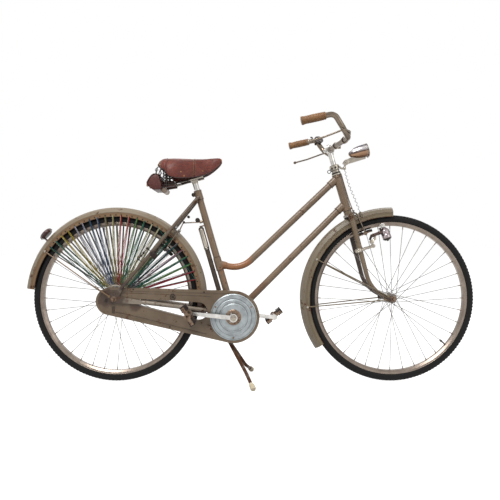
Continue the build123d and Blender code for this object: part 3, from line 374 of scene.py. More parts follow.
class Shader:
    """A node material under construction."""

    def __init__(self, name, **settings):
        self.material = bpy.data.materials.new(name)
        self.material.use_nodes = True
        self.tree = self.material.node_tree
        self.surface = self.tree.nodes["Principled BSDF"]
        for name, value in settings.items():
            self.surface.inputs[name.replace("_", " ").title().replace("Ior", "IOR")].default_value = value
        self.place = self.node("ShaderNodeTexCoord", {}, {}, "Object")

    def node(self, kind, settings, values, output=0):
        """Adds one node: its settings first, then the values or links of its sockets."""
        made = self.tree.nodes.new(kind)
        for name, value in settings.items():
            if name == "stops":
                ramp = made.color_ramp
                while len(ramp.elements) < len(value):
                    ramp.elements.new(0.5)
                for element, (position, colour) in zip(ramp.elements, value):
                    element.position = position
                    element.color = (*colour, 1.0)
            else:
                setattr(made, name, value)
        for name, value in values.items():
            if isinstance(value, Value):
                self.tree.links.new(value.socket, made.inputs[name])
            elif isinstance(value, (tuple, list)) and len(value) == 3 and made.inputs[name].type == "RGBA":
                made.inputs[name].default_value = (*value, 1.0)
            else:
                made.inputs[name].default_value = value
        return Value(self, made.outputs[output])

    def link(self, value, name):
        """Feeds a value into one of the surface's sockets."""
        self.tree.links.new(value.socket, self.surface.inputs[name])

    def noise(self, scale, detail=4.0, roughness=0.6, place=None):
        return self.node(
            "ShaderNodeTexNoise",
            {},
            {"Vector": place or self.place, "Scale": scale, "Detail": detail, "Roughness": roughness},
            "Fac",
        )

    def distance(self, centre):
        """Distance from a point of the object's own space."""
        return self.node(
            "ShaderNodeVectorMath", {"operation": "DISTANCE"}, {0: self.place, 1: centre}, "Value"
        )

    def voronoi(self, scale, feature="F1", **values):
        return self.node(
            "ShaderNodeTexVoronoi", {"feature": feature}, {"Vector": self.place, "Scale": scale, **values}
        )

    def mix(self, mask, first, second):
        """Colour that goes from the first to the second with a mask."""
        return self.node("ShaderNodeMix", {"data_type": "RGBA"}, {"Factor": mask, 6: first, 7: second}, 2)

    def stretched(self, scale):
        """Object coordinates stretched along the axes."""
        return self.node("ShaderNodeMapping", {}, {"Vector": self.place, "Scale": scale}, "Vector")

    def bump(self, height, strength, distance=0.001):
        made = self.node(
            "ShaderNodeBump", {}, {"Height": height, "Strength": strength, "Distance": distance}, "Normal"
        )
        self.link(made, "Normal")


def rgb(red, green, blue):
    """Linear colour of an 8-bit screen colour."""
    values = []
    for channel in (red, green, blue):
        level = channel / 255.0
        values.append(level / 12.92 if level <= 0.04045 else ((level + 0.055) / 1.055) ** 2.4)
    return tuple(values)


def enamel(name, base, shade, rust_edge, gloss=0.34, stains=(), outer=None):
    """Aged enamel: clouded colour, scratches, rust patches, stains about places, and a tone beyond a distance
    from a point: a band on the mudguards, painted shade on the fork's far blade.
    """
    shader = Shader(name, metallic=0.0, coat_roughness=0.32, specular_ior_level=0.35)
    clouds = shader.noise(9.0, 5.0, 0.62)
    fine = shader.noise(170.0, 3.0, 0.7)
    specks = shader.noise(420.0, 2.0, 0.5)
    colour = shader.mix(clouds.above(0.55, 0.25), base, shade)
    colour = shader.mix(specks.above(0.7, 0.05) * 0.2, colour, rgb(70, 58, 44))
    patch = shader.noise(26.0, 6.0, 0.72)
    if outer:
        centre, radius, tone = outer
        # tone beyond a distance: a band on the mudguards, painted shade on the fork's far blade
        colour = shader.mix(shader.distance(centre).above(radius, 0.0015), colour, tone)
    for centre, radius, tone in stains:
        reach = shader.distance(centre) * (1.0 / radius)
        near = (1.0 - reach + (patch - 0.5) * 1.6).above(0.1, 0.3)
        colour = shader.mix(near * 0.9, colour, tone)
    rust = (patch + fine * 0.28).above(rust_edge, 0.035)
    rust_colour = shader.mix(fine, rgb(96, 60, 36), rgb(58, 38, 26))
    shader.link(shader.mix(rust, colour, rust_colour), "Base Color")
    shader.link(rust * 0.4 + clouds * 0.12 + gloss, "Roughness")
    shader.link(0.22 - rust * 0.22, "Coat Weight")
    shader.bump(fine * 0.15 + rust * 0.6, 0.06, 0.0004)
    return shader.material


def plating(name, base, spot_edge, roughness=0.24, brown=rgb(92, 66, 46)):
    """Old bright plating with clouding and small rust spots."""
    shader = Shader(name, metallic=1.0)
    clouds = shader.noise(38.0, 4.0, 0.6)
    fine = shader.noise(360.0, 3.0, 0.65)
    spots = (shader.noise(120.0, 5.0, 0.7) + clouds * 0.3).above(spot_edge + 0.05, 0.06)
    dull = tuple(level * 0.72 for level in base)
    colour = shader.mix(clouds.above(0.52, 0.2), base, dull)
    shader.link(shader.mix(spots, colour, brown), "Base Color")
    shader.link(spots * 0.4 + clouds * 0.16 + (roughness - 0.06), "Roughness")
    shader.link(1.0 - spots * 0.75, "Metallic")
    shader.bump(fine, 0.012, 0.0002)
    return shader.material


def rubber(name, base, dust, roughness=0.62):
    """Old rubber with dust in its grain."""
    shader = Shader(name, metallic=0.0, specular_ior_level=0.25)
    clouds = shader.noise(28.0, 5.0, 0.65)
    grain = shader.noise(700.0, 3.0, 0.6)
    shader.link(shader.mix(clouds.above(0.56, 0.16) * 0.55, base, dust), "Base Color")
    shader.link(clouds * 0.22 + (roughness - 0.08), "Roughness")
    shader.bump(grain, 0.22, 0.0005)
    return shader.material


def leather(name, base, worn, dark, grain_scale=520.0):
    """Oiled leather: worn lights, dark creases and a fine cell grain."""
    shader = Shader(name, metallic=0.0, coat_roughness=0.3, specular_ior_level=0.3)
    clouds = shader.noise(22.0, 6.0, 0.68)
    scuffs = shader.noise(90.0, 5.0, 0.75, shader.stretched((0.5, 1.0, 1.6)))
    grain = shader.voronoi(grain_scale, "DISTANCE_TO_EDGE")
    colour = shader.mix(clouds.above(0.5, 0.2), base, worn)
    colour = shader.mix(scuffs.above(0.6, 0.08) * 0.75, colour, dark)
    shader.link(shader.mix(grain.above(0.05, 0.05), dark, colour), "Base Color")
    shader.link(clouds * 0.3 + 0.3, "Roughness")
    shader.link(0.16 - scuffs.above(0.6, 0.1) * 0.12, "Coat Weight")
    shader.bump(grain.above(0.12, 0.12) + scuffs * 0.5, 0.4, 0.0006)
    return shader.material


def twine(name):
    """Coloured twine: each cord's own colour with a soft twisted fibre."""
    shader = Shader(name, metallic=0.0, roughness=0.8)
    colour = shader.node("ShaderNodeAttribute", {"attribute_name": "cord_colour"}, {}, "Color")
    fibre = shader.noise(1500.0, 2.0, 0.5)
    dirt = shader.noise(60.0, 4.0, 0.6)
    colour = shader.mix(dirt.above(0.62, 0.15) * 0.4, colour, rgb(120, 110, 90))
    shader.link(shader.mix(fibre * 0.3, colour, rgb(60, 56, 46)), "Base Color")
    shader.bump(fibre, 0.3, 0.0004)
    return shader.material


def lens_red(name):
    """Moulded red reflector with a fine prism grid under a gloss coat."""
    shader = Shader(name, metallic=0.0, roughness=0.25, coat_weight=1.0, coat_roughness=0.05)
    cells = shader.voronoi(300.0, Randomness=0.0)
    dirt = shader.noise(80.0, 4.0, 0.6)
    colour = shader.mix(cells.above(0.45, 0.2), rgb(110, 44, 36), rgb(62, 26, 24))
    shader.link(shader.mix(dirt.above(0.58, 0.1) * 0.6, colour, rgb(66, 52, 46)), "Base Color")
    shader.bump(cells, 0.5, 0.0008)
    return shader.material


def painted_reflection_chrome(name):
    """Lamp plating with a painted reflection: its bands of dark, brown and white follow the height above the
    lamp's own axis.
    """
    shader = Shader(name, metallic=1.0, roughness=0.2)
    parts = shader.node("ShaderNodeSeparateXYZ", {}, {"Vector": shader.place}, 0)
    across = Value(shader, parts.socket.node.outputs["X"]) - 0.462
    upward = Value(shader, parts.socket.node.outputs["Z"]) - 0.963
    height = upward * 0.97 - across * 0.242
    clouds = shader.noise(60.0, 4.0, 0.6)
    share = (height + 0.029 + (clouds - 0.5) * 0.006) * 17.2
    # painted reflection: the ramp's dark, brown and white bands stand in for the surroundings mirrored in the
    # lamp
    colour = shader.node(
        "ShaderNodeValToRGB",
        {
            "stops": (
                (0.0, rgb(44, 34, 30)), (0.16, rgb(118, 88, 68)), (0.38, rgb(150, 120, 96)),
                (0.47, rgb(70, 54, 48)), (0.55, rgb(168, 160, 160)), (0.72, rgb(214, 210, 212)),
                (0.86, rgb(104, 98, 102)), (1.0, rgb(54, 50, 52)),
            )
        },
        {"Fac": share},
    )
    shader.link(colour, "Base Color")
    shader.link(clouds * 0.25 + 0.08, "Roughness")
    return shader.material


def lamp_glass_painted_light(name):
    """Fluted lamp glass, opaque, with painted light: its pale tone and darker flute bands stand in for the
    bright surroundings seen in clear glass.
    """
    shader = Shader(name, metallic=0.0, roughness=0.08, coat_weight=1.0, transmission_weight=0.0)
    wave = shader.node(
        "ShaderNodeTexWave",
        {"bands_direction": "Y"},
        {"Vector": shader.place, "Scale": 60.0, "Distortion": 0.4},
        1,
    )
    # painted light: pale flute bands with darker ones between stand in for the surroundings seen in the clear
    # glass
    shader.link(shader.mix(wave * 0.5, rgb(226, 228, 226), rgb(168, 172, 172)), "Base Color")
    shader.bump(wave, 0.4, 0.001)
    return shader.material


FINISHES = {}


def make_finishes(paint):
    """Makes every material once, from the colours in the panel."""
    taupe = tuple(paint.enamel_colour)
    shade = tuple(level * 0.74 for level in taupe)
    dark = tuple(level * 0.5 for level in taupe)
    FINISHES.update(
        frame_paint=enamel(
            "aged_taupe_enamel",
            taupe, shade, 0.78, 0.3,
            (((-0.04, 0.0, 0.47), 0.075, rgb(150, 96, 56)), ((0.02, 0.0, 0.372), 0.07, rgb(104, 74, 50))),
        ),
        stay_paint=enamel(
            "seat_stay_enamel", rgb(98, 82, 66), rgb(74, 60, 48), 0.74, 0.34,
            (((-0.532, -0.062, 0.388), 0.05, rgb(58, 42, 34)),),
        ),
        fork_paint=enamel(
            "fork_enamel_and_far_painted_shade", rgb(120, 103, 82), shade, 0.76, 0.34,
            (((0.566, 0.0, 0.372), 0.07, rgb(70, 50, 38)),),
            # painted shade: the dark tone beyond y = 0.02 darkens the fork's far blade
            outer=((0.5, -10.0, 0.5), 10.02, rgb(58, 44, 34)),
        ),
        # painted highlight: the chain stays get a lighter copy of the frame enamel in place of the highlight
        # along them; the stain at the dropout is rust
        chain_stay_paint=enamel(
            "chain_stay_enamel_painted_highlight", rgb(146, 134, 120), rgb(112, 98, 84), 0.76, 0.3,
            (((-0.56, -0.06, 0.35), 0.055, rgb(60, 42, 32)),),
        ),
        rear_guard_paint=enamel(
            "rear_mudguard_enamel", rgb(128, 100, 70), rgb(104, 80, 56), 0.76, 0.34,
            (((-0.196, 0.0, 0.3), 0.055, rgb(86, 58, 38)),),
            (tuple(REAR_AXLE), 0.3585, rgb(126, 112, 92)),
        ),
        guard_paint=enamel(
            "mudguard_enamel", rgb(122, 108, 84), rgb(100, 86, 66), 0.76, 0.34, (),
            (tuple(FRONT_AXLE), 0.3585, rgb(120, 108, 90)),
        ),
        case_paint=enamel(
            "chain_case_enamel", rgb(116, 99, 80), rgb(92, 76, 58), 0.77, 0.34,
            (
                ((-0.59, -0.058, 0.35), 0.042, rgb(60, 42, 32)),
                ((-0.47, -0.058, 0.325), 0.03, rgb(70, 50, 38)),
            ),
        ),
        # painted shade: a half-bright copy of the taupe enamel on the mudguards' rolled edges and the lug
        # edges
        guard_edge=enamel("mudguard_edge_painted_shade", dark, tuple(v * 0.7 for v in dark), 0.62),
        guard_line=enamel("mudguard_line_enamel", tuple(v * 0.34 for v in taupe), dark, 0.66),
        case_line=enamel("chain_case_line_enamel", rgb(74, 60, 46), rgb(54, 42, 32), 0.66),
        disc_paint=plating("disc_grey", rgb(158, 164, 166), 0.86, 0.42),
        disc_line=plating("disc_line_grey", rgb(104, 106, 104), 0.8, 0.45),
        lamp_chrome=painted_reflection_chrome("lamp_chrome"),
        black_steel=rubber("black_painted_steel", rgb(34, 31, 30), rgb(84, 70, 60), 0.45),
        dark_fitting=plating("blackened_steel", rgb(62, 56, 52), 0.8, 0.42),
        rusty_bright=plating("rust_flecked_plating", rgb(132, 112, 96), 0.66, 0.34),
        brass=plating("dull_brass", rgb(190, 150, 96), 0.84, 0.3),
        leather_edge=leather("hide_edge", rgb(44, 20, 16), rgb(66, 32, 24), rgb(24, 12, 10), 900.0),
        strap_leather=leather("strap_hide", rgb(66, 34, 28), rgb(92, 52, 40), rgb(34, 18, 16), 900.0),
        nickel=plating("dulled_plating", rgb(168, 160, 148), 0.8),
        bright=plating("bright_plating", rgb(206, 203, 198), 0.92, 0.16),
        bell_chrome=plating("bell_plating", rgb(104, 98, 96), 0.86, 0.12),
        dynamo_chrome=plating("dynamo_plating", rgb(160, 148, 150), 0.86, 0.18),
        rust_red=enamel("rust_red_steel", rgb(98, 68, 60), rgb(62, 44, 38), 0.74, 0.4),
        bar_plating=plating("worn_bar_plating", rgb(120, 108, 95), 0.8, 0.2),
        rim_steel=plating("rim_plating", rgb(134, 122, 112), 0.8, 0.26),
        spoke_steel=plating("spoke_steel", rgb(120, 116, 112), 0.84, 0.36),
        rusty_steel=enamel("rusted_steel", rgb(92, 70, 52), rgb(58, 42, 32), 0.62, 0.6),
        tyre=rubber("dusty_tyre_rubber", rgb(10, 9, 9), rgb(26, 22, 20), 0.7),
        pedal_rubber=rubber("pedal_block_rubber", rgb(34, 26, 24), rgb(78, 60, 52), 0.6),
        foot_rubber=rubber("cream_foot_rubber", rgb(214, 200, 172), rgb(160, 140, 110), 0.6),
        saddle_leather=leather("saddle_hide", rgb(92, 30, 18), rgb(120, 50, 29), rgb(46, 15, 12)),
        bag_leather=leather("bag_hide", rgb(74, 25, 20), rgb(96, 44, 36), rgb(38, 14, 13)),
        grip=leather("worn_grip_brown", rgb(130, 90, 50), rgb(150, 110, 66), rgb(84, 54, 38), 1400.0),
        tin_metal=plating("bag_tin", rgb(130, 116, 104), 0.74, 0.35),
        reflector_red=lens_red("reflector_lens"),
        lamp_lens=lamp_glass_painted_light("fluted_glass"),
        pump_dark=rubber("pump_barrel", rgb(60, 52, 44), rgb(100, 84, 66), 0.4),
        cord=twine("coloured_twine"),
        wire=rubber("curly_lead_sheath", rgb(150, 150, 150), rgb(120, 116, 108), 0.45),
        thread=rubber("waxed_thread", rgb(176, 150, 112), rgb(130, 104, 74), 0.7),
    )


NODE_FINISHES = {
    "rusty_bright": ("rear_axle", "front_axle"),
    "frame_paint": ("seat_tube", "head_tube", "upper_tube", "lower_tube", "bottom_bracket"),
    "stay_paint": ("seat_stays",),
    "chain_stay_paint": ("chain_stays",),
    "fork_paint": ("fork",),
    "rear_guard_paint": ("rear_fender",),
    "guard_paint": ("front_fender",),
    "case_paint": ("chain_case",),
    "disc_paint": ("disc_cover",),
    "rusty_steel": ("stand_bracket", "stand_legs"),
    "nickel": ("headset", "bell", "lamp_bracket"),
    "bright": ("stem", "seat_post", "cranks"),
    "lamp_chrome": ("headlamp",),
    "bar_plating": ("handlebar", "brake_levers", "front_brake", "rear_brake"),
    "rim_steel": ("front_rim", "rear_rim"),
    "spoke_steel": ("front_spoked_hub", "rear_spoked_hub"),
    "black_steel": ("saddle_frame",),
    "tin_metal": ("tool_tube", "dynamo"),
    "tyre": ("front_tyre", "rear_tyre"),
    "grip": ("grips",),
    "pedal_rubber": ("pedal_right", "pedal_left"),
    "foot_rubber": ("stand_feet",),
    "saddle_leather": ("saddle_leather",),
    "bag_leather": ("tool_bag",),
    "reflector_red": ("reflector",),
    "lamp_lens": ("lamp_glass",),
    "pump_dark": ("pump",),
    "cord": ("skirt_guard_right", "skirt_guard_left"),
    "wire": ("lamp_wire",),
}


# Panel settings


class BicycleSettings(bpy.types.PropertyGroup):
    """Sizes and colours of the dressed bicycle."""

    enamel_colour: FloatVectorProperty(
        name="Enamel",
        description="Colour of the frame's aged enamel",
        subtype="COLOR",
        size=3,
        min=0.0,
        max=1.0,
        default=rgb(124, 102, 80),
    )
    tread_count: IntProperty(
        name="Tread blocks", description="Tread blocks round each tyre", default=150, min=40
    )
    cord_twist: FloatProperty(
        name="Cord twist",
        description="Length of one turn of the guard cords' twist",
        default=0.011,
        unit="LENGTH",
    )
    coil_turns: IntProperty(name="Lead turns", description="Turns of the curly lamp lead", default=11, min=2)


class BicycleOperator:
    """What the operators share: an undo step, and the settings."""

    bl_options = {"REGISTER", "UNDO"}

    @property
    def settings(self):
        return bpy.context.scene.bicycle


def greater(tree, first, second):
    """Math node that gives the greater of two sockets."""
    node = tree.nodes.new("ShaderNodeMath")
    node.operation = "MAXIMUM"
    tree.links.new(first, node.inputs[0])
    tree.links.new(second, node.inputs[1])
    return node


class BICYCLE_OT_stage(BicycleOperator, bpy.types.Operator):
    """Sets up the pale floor, the soft light and the camera"""

    bl_idname = "bicycle.stage"
    bl_label = "Stage"

    def execute(self, context):
        deselect()
        bpy.ops.mesh.primitive_plane_add(size=60.0, location=(0, 0, -0.0005))
        floor = bpy.context.object
        floor.name = "studio_floor"
        material = bpy.data.materials.new("pale_floor")
        material.use_nodes = True
        tree = material.node_tree
        surface = tree.nodes["Principled BSDF"]
        surface.inputs["Base Color"].default_value = (0.42, 0.42, 0.42, 1)
        surface.inputs["Roughness"].default_value = 0.9
        surface.inputs["Specular IOR Level"].default_value = 0.1
        rays = tree.nodes.new("ShaderNodeLightPath")
        seen = greater(tree, rays.outputs["Is Camera Ray"], rays.outputs["Is Glossy Ray"])
        lift = tree.nodes.new("ShaderNodeMath")
        lift.operation = "MULTIPLY"
        lift.inputs[1].default_value = 0.92
        tree.links.new(seen.outputs[0], lift.inputs[0])
        surface.inputs["Emission Color"].default_value = (1, 1, 1, 1)
        tree.links.new(lift.outputs[0], surface.inputs["Emission Strength"])
        floor.data.materials.append(material)

        world = bpy.data.worlds.new("studio")
        world.use_nodes = True
        context.scene.world = world
        tree = world.node_tree
        light = tree.nodes["Background"]
        light.inputs["Color"].default_value = (0.97, 0.985, 1.0, 1)
        light.inputs["Strength"].default_value = 0.4
        white = tree.nodes.new("ShaderNodeBackground")
        white.inputs["Color"].default_value = (1, 1, 1, 1)
        white.inputs["Strength"].default_value = 1.0
        rays = tree.nodes.new("ShaderNodeLightPath")
        seen = greater(tree, rays.outputs["Is Camera Ray"], rays.outputs["Is Transmission Ray"])
        through = greater(tree, seen.outputs[0], rays.outputs["Is Glossy Ray"])
        mix = tree.nodes.new("ShaderNodeMixShader")
        tree.links.new(through.outputs[0], mix.inputs[0])
        tree.links.new(light.outputs[0], mix.inputs[1])
        tree.links.new(white.outputs[0], mix.inputs[2])
        tree.links.new(mix.outputs[0], tree.nodes["World Output"].inputs["Surface"])

        for name, place, size, power in (
            ("key_light", (-0.9, -1.9, 3.2), 1.4, 96.0), ("fill_light", (2.4, -2.2, 1.6), 2.0, 18.0),
            ("back_light", (0.6, 2.6, 2.6), 2.2, 26.0),
        ):
            lamp = bpy.data.lights.new(name, "AREA")
            lamp.size = size
            lamp.energy = power
            obj = bpy.data.objects.new(name, lamp)
            obj.location = place
            aim_at = Vector((0, 0, 0.5)) - Vector(place)
            obj.rotation_euler = aim_at.to_track_quat("-Z", "Y").to_euler()
            context.collection.objects.link(obj)

        data = bpy.data.cameras.new("camera")
        data.lens = 39.3
        data.sensor_width = 36.0
        data.shift_x = 0.018
        data.shift_y = -0.006
        camera = bpy.data.objects.new("camera", data)
        camera.location = (-0.038, -2.3, 0.562)
        camera.rotation_euler = (radians(90), 0, 0)
        context.collection.objects.link(camera)
        context.scene.camera = camera
        context.scene.view_settings.view_transform = "Standard"
        return {"FINISHED"}


class BICYCLE_OT_finishes(BicycleOperator, bpy.types.Operator):
    """Gives every CAD node its aged finish"""

    bl_idname = "bicycle.finishes"
    bl_label = "Finishes"

    def execute(self, context):
        make_finishes(self.settings)
        for finish, nodes in NODE_FINISHES.items():
            for node in nodes:
                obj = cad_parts[node]
                for place in obj.material_slots:
                    place.material = FINISHES[finish]
        return {"FINISHED"}


# Wheels


def both_sides(profile):
    """Closed profile made of one side's (across, radius) corners and their mirror image."""
    return [*profile, *[(-across, radius) for across, radius in reversed(profile)], profile[0]]


TYRE_HALF = (
    (0.0121, 0.312), (0.0121, 0.3186), (0.0148, 0.3196), (0.0152, 0.3206), (0.0162, 0.321),
    (0.0178, 0.3245), (0.0182, 0.3262), (0.0177, 0.327), (0.0183, 0.3292), (0.018, 0.3318),
    (0.0184, 0.3324), (0.0176, 0.3345), (0.0158, 0.3392), (0.0128, 0.3428), (0.0092, 0.345),
    (0.0045, 0.3462), (0.0026, 0.3464), (0.0022, 0.3479), (0.0, 0.348),
)
WHEELS = {
    "front": {"axle": FRONT_AXLE, "hole": 0.017, "flanges": (-0.0295, 0.0295), "valve": -40.2},
    "rear": {"axle": REAR_AXLE, "hole": 0.025, "flanges": (-0.0225, 0.0255), "valve": -9.0},
}


class BICYCLE_OT_tyres(BicycleOperator, bpy.types.Operator):
    """Turns both tyres with ribbed walls, a centre rib and rows of tread blocks"""

    bl_idname = "bicycle.tyres"
    bl_label = "Tyres"

    def execute(self, context):
        count = self.settings.tread_count
        for name, wheel in WHEELS.items():
            axle = wheel["axle"]
            parts = [turned(axle, ACROSS, both_sides(TYRE_HALF), 120)]
            for side in (-1, 1):
                for across, lean in ((0.0062, 28), (0.0125, -20)):
                    drop = 0.0021 if across < 0.01 else 0.0046
                    spot = wheel_point(axle, TYRE_RADIUS - drop, 90, side * across)
                    tip = radians(18 if across < 0.01 else 38)
                    lug = block(spot, (0.006, 0.0052, 0.0022), (-side * tip, 0, side * radians(lean)), 0.0004)
                    parts.append(around(lug, axle, NEAR, count, 360.0 / count))
            piece = assemble(f"{name}_tyre_casing", parts, 40, "tyre", f"{name}_wheel")
            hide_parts(f"{name}_tyre")
        return {"FINISHED"}


class BICYCLE_OT_wheel_fittings(BicycleOperator, bpy.types.Operator):
    """Adds the spoke nipples, the rims' rolled edges and the valves"""

    bl_idname = "bicycle.wheel_fittings"
    bl_label = "Wheel fittings"

    def execute(self, context):
        for name, wheel in WHEELS.items():
            axle = wheel["axle"]
            parts = []
            for index in range(4):
                side = wheel["flanges"][index % 2]
                lean = 64.0 if (index // 2) % 2 else -64.0
                start = wheel_point(axle, wheel["hole"], index * 10.0 + lean, side)
                end = wheel_point(axle, 0.303, index * 10.0, 0.004 if side > 0 else -0.004)
                course = (end - start).normalized()
                nipple = cylinder(end - course * 0.0115, course, 0.0021, 0.012, 8)
                parts.append(around(nipple, axle, NEAR, 9, 40.0))
            for side in (-1, 1):
                parts.append(hoop(axle + ACROSS * side * 0.0134, ACROSS, 0.3178, 0.0014, 120, 8))
            assemble(f"{name}_wheel_nipples", parts, 60, "rim_steel", f"{name}_wheel")
            foot = wheel_point(axle, 0.3034, wheel["valve"])
            inward = (axle - foot).normalized()
            stem = [
                turned(
                    foot, inward,
                    [
                        (0, 0.0045), (0.003, 0.0045), (0.0035, 0.0032), (0.018, 0.003), (0.0182, 0.0046),
                        (0.0265, 0.0044), (0.0295, 0.0028), (0.03, 0.0),
                    ],
                    20,
                )
            ]
            assemble(f"{name}_valve", stem, 30, "black_steel", f"{name}_wheel")
        return {"FINISHED"}


# Skirt guards

CORD_COLOURS = {
    "red": rgb(176, 22, 48),
    "green": rgb(104, 146, 74),
    "teal": rgb(28, 120, 104),
    "dark teal": rgb(24, 78, 82),
    "grey": rgb(146, 128, 142),
    "cream": rgb(214, 208, 172),
    "olive": rgb(154, 142, 82),
    "blue": rgb(52, 86, 124),
    "lilac": rgb(198, 198, 208),
    "yellow": rgb(196, 174, 62),
}
CORD_ORDER = (
    ("red", "teal"), ("red", "grey"), ("green", "teal"), ("teal", "green"), ("grey", "red"),
    ("dark teal", "grey"), ("teal", "green"), ("cream", "teal"), ("cream", "olive"), ("cream", "teal"),
    ("teal", "green"), ("green", "dark teal"), ("red", "cream"), ("red", "cream"), ("olive", "cream"),
    ("olive", "grey"), ("blue", "lilac"), ("blue", "dark teal"), ("lilac", "blue"), ("lilac", "grey"),
    ("yellow", "olive"), ("yellow", "cream"), ("teal", "cream"), ("dark teal", "green"),
)
CORD_FIRST = 13.5
CORD_LAST = 142.0
CORD_EDGE_RADIUS = 0.3455
CORD_RADIUS = 0.00078


def cord_angle(index):
    """Angle of one anchor on the mudguard's edge; halves fall between anchors."""
    return CORD_FIRST + (CORD_LAST - CORD_FIRST) * index / (len(CORD_ORDER) - 1)


def twisted_pair(start, end, turn_length, phase):
    """Rings of both plies of one twisted cord, four points a ring."""
    course = end - start
    along = course.normalized()
    side = along.cross(ACROSS).normalized()
    out = side.cross(along)
    turns = course.length / turn_length
    steps = int(turns * 5)
    plies = []
    for ply in (0.0, pi):
        rings = []
        for step in range(steps + 1):
            share = step / steps
            angle = phase + ply + share * turns * 2 * pi
            centre = start + course * share + (side * cos(angle) + out * sin(angle)) * CORD_RADIUS
            rings.append(ring_about(centre, side, out, CORD_RADIUS, 4, angle))
        plies.append(rings)
    return plies


class BICYCLE_OT_skirt_guards(BicycleOperator, bpy.types.Operator):
    """Strings both skirt guards with twisted coloured cords"""

    bl_idname = "bicycle.skirt_guards"
    bl_label = "Skirt guards"

    def execute(self, context):
        chance = random.Random(7)
        for name, side, hub_radius, hub_across in (("right", -1, 0.056, 0.0303), ("left", 1, 0.0215, 0.0517)):
            points = []
            faces = []
            tints = []
            last = len(CORD_ORDER) - 1
            for index, (main, second) in enumerate(CORD_ORDER):
                for lane, shift in enumerate((-1.6, -0.5, 0.6, 1.7)):
                    near = min(max(index + shift, 0), last)
                    hub_angle = cord_angle(near)
                    layer = (lane - 1.5) * 0.0007
                    start = wheel_point(REAR_AXLE, hub_radius, hub_angle, side * hub_across + layer)
                    anchor = cord_angle(index) + (lane - 1.5) * 0.22
                    end = wheel_point(REAR_AXLE, CORD_EDGE_RADIUS, anchor, side * 0.0294 + layer * 0.3)
                    colour = CORD_COLOURS[second if lane == 3 else main]
                    level = chance.uniform(0.78, 1.18)
                    plies = twisted_pair(start, end, self.settings.cord_twist, chance.random() * 6)
                    for ply, rings in enumerate(plies):
                        shade = level * (0.82 if ply else 1.0)
                        faces += ring_faces(len(points), rings)
                        points += [point for ring in rings for point in ring]
                        tints += [tuple(min(1.0, v * shade) for v in colour)] * (4 * len(rings))
            start = wheel_point(REAR_AXLE, CORD_EDGE_RADIUS, 60.0, side * 0.03)
            end = wheel_point(REAR_AXLE, CORD_EDGE_RADIUS, 12.0, side * 0.03)
            for rings in twisted_pair(start, end, self.settings.cord_twist, 0.0):
                faces += ring_faces(len(points), rings)
                points += [point for ring in rings for point in ring]
                tints += [CORD_COLOURS["teal"]] * (4 * len(rings))
            obj = mesh_object(f"skirt_cords_{name}", points, faces)
            tint = obj.data.attributes.new("cord_colour", "FLOAT_COLOR", "POINT")
            tint.data.foreach_set("color", [v for row in tints for v in (*row, 1.0)])
            activate(obj)
            bpy.ops.object.mode_set(mode="EDIT")
            bpy.ops.mesh.select_all(action="SELECT")
            bpy.ops.mesh.normals_make_consistent(inside=False)
            bpy.ops.object.mode_set(mode="OBJECT")
            bpy.ops.object.shade_smooth()
            dress(obj, FINISHES["cord"], "frame")
            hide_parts(f"skirt_guard_{name}")
            inner = hub_radius - 0.005
            outer = hub_radius + 0.002
            profile = [(-0.0009, inner), (-0.0009, outer), (0.0009, outer), (0.0009, inner), (-0.0009, inner)]
            plate = turned(REAR_AXLE + ACROSS * side * hub_across, ACROSS * side, profile, 64)
            assemble(f"skirt_cord_ring_{name}", [plate], 30, "nickel", "frame")
        return {"FINISHED"}


# Mudguards

GUARDS = {
    "rear": {"axle": REAR_AXLE, "start": -12.0, "end": 173.8, "body": "frame"},
    "front": {"axle": FRONT_AXLE, "start": 89.0, "end": 213.8, "body": "steering"},
}
EYELET_STEP = 3.72
EYELET_RADIUS = 0.3445 + 0.003
EYELET_FIRST = 7.9
EYELET_COUNT = 38


def arc_wire(axle, radius, first, last, across, thickness):
    """Round wire that follows a mudguard's curve."""
    steps = max(8, int((last - first) / 4))
    route = []
    for step in range(steps + 1):
        route.append(wheel_point(axle, radius, first + (last - first) * step / steps, across))
    return wire(route, thickness, 1)


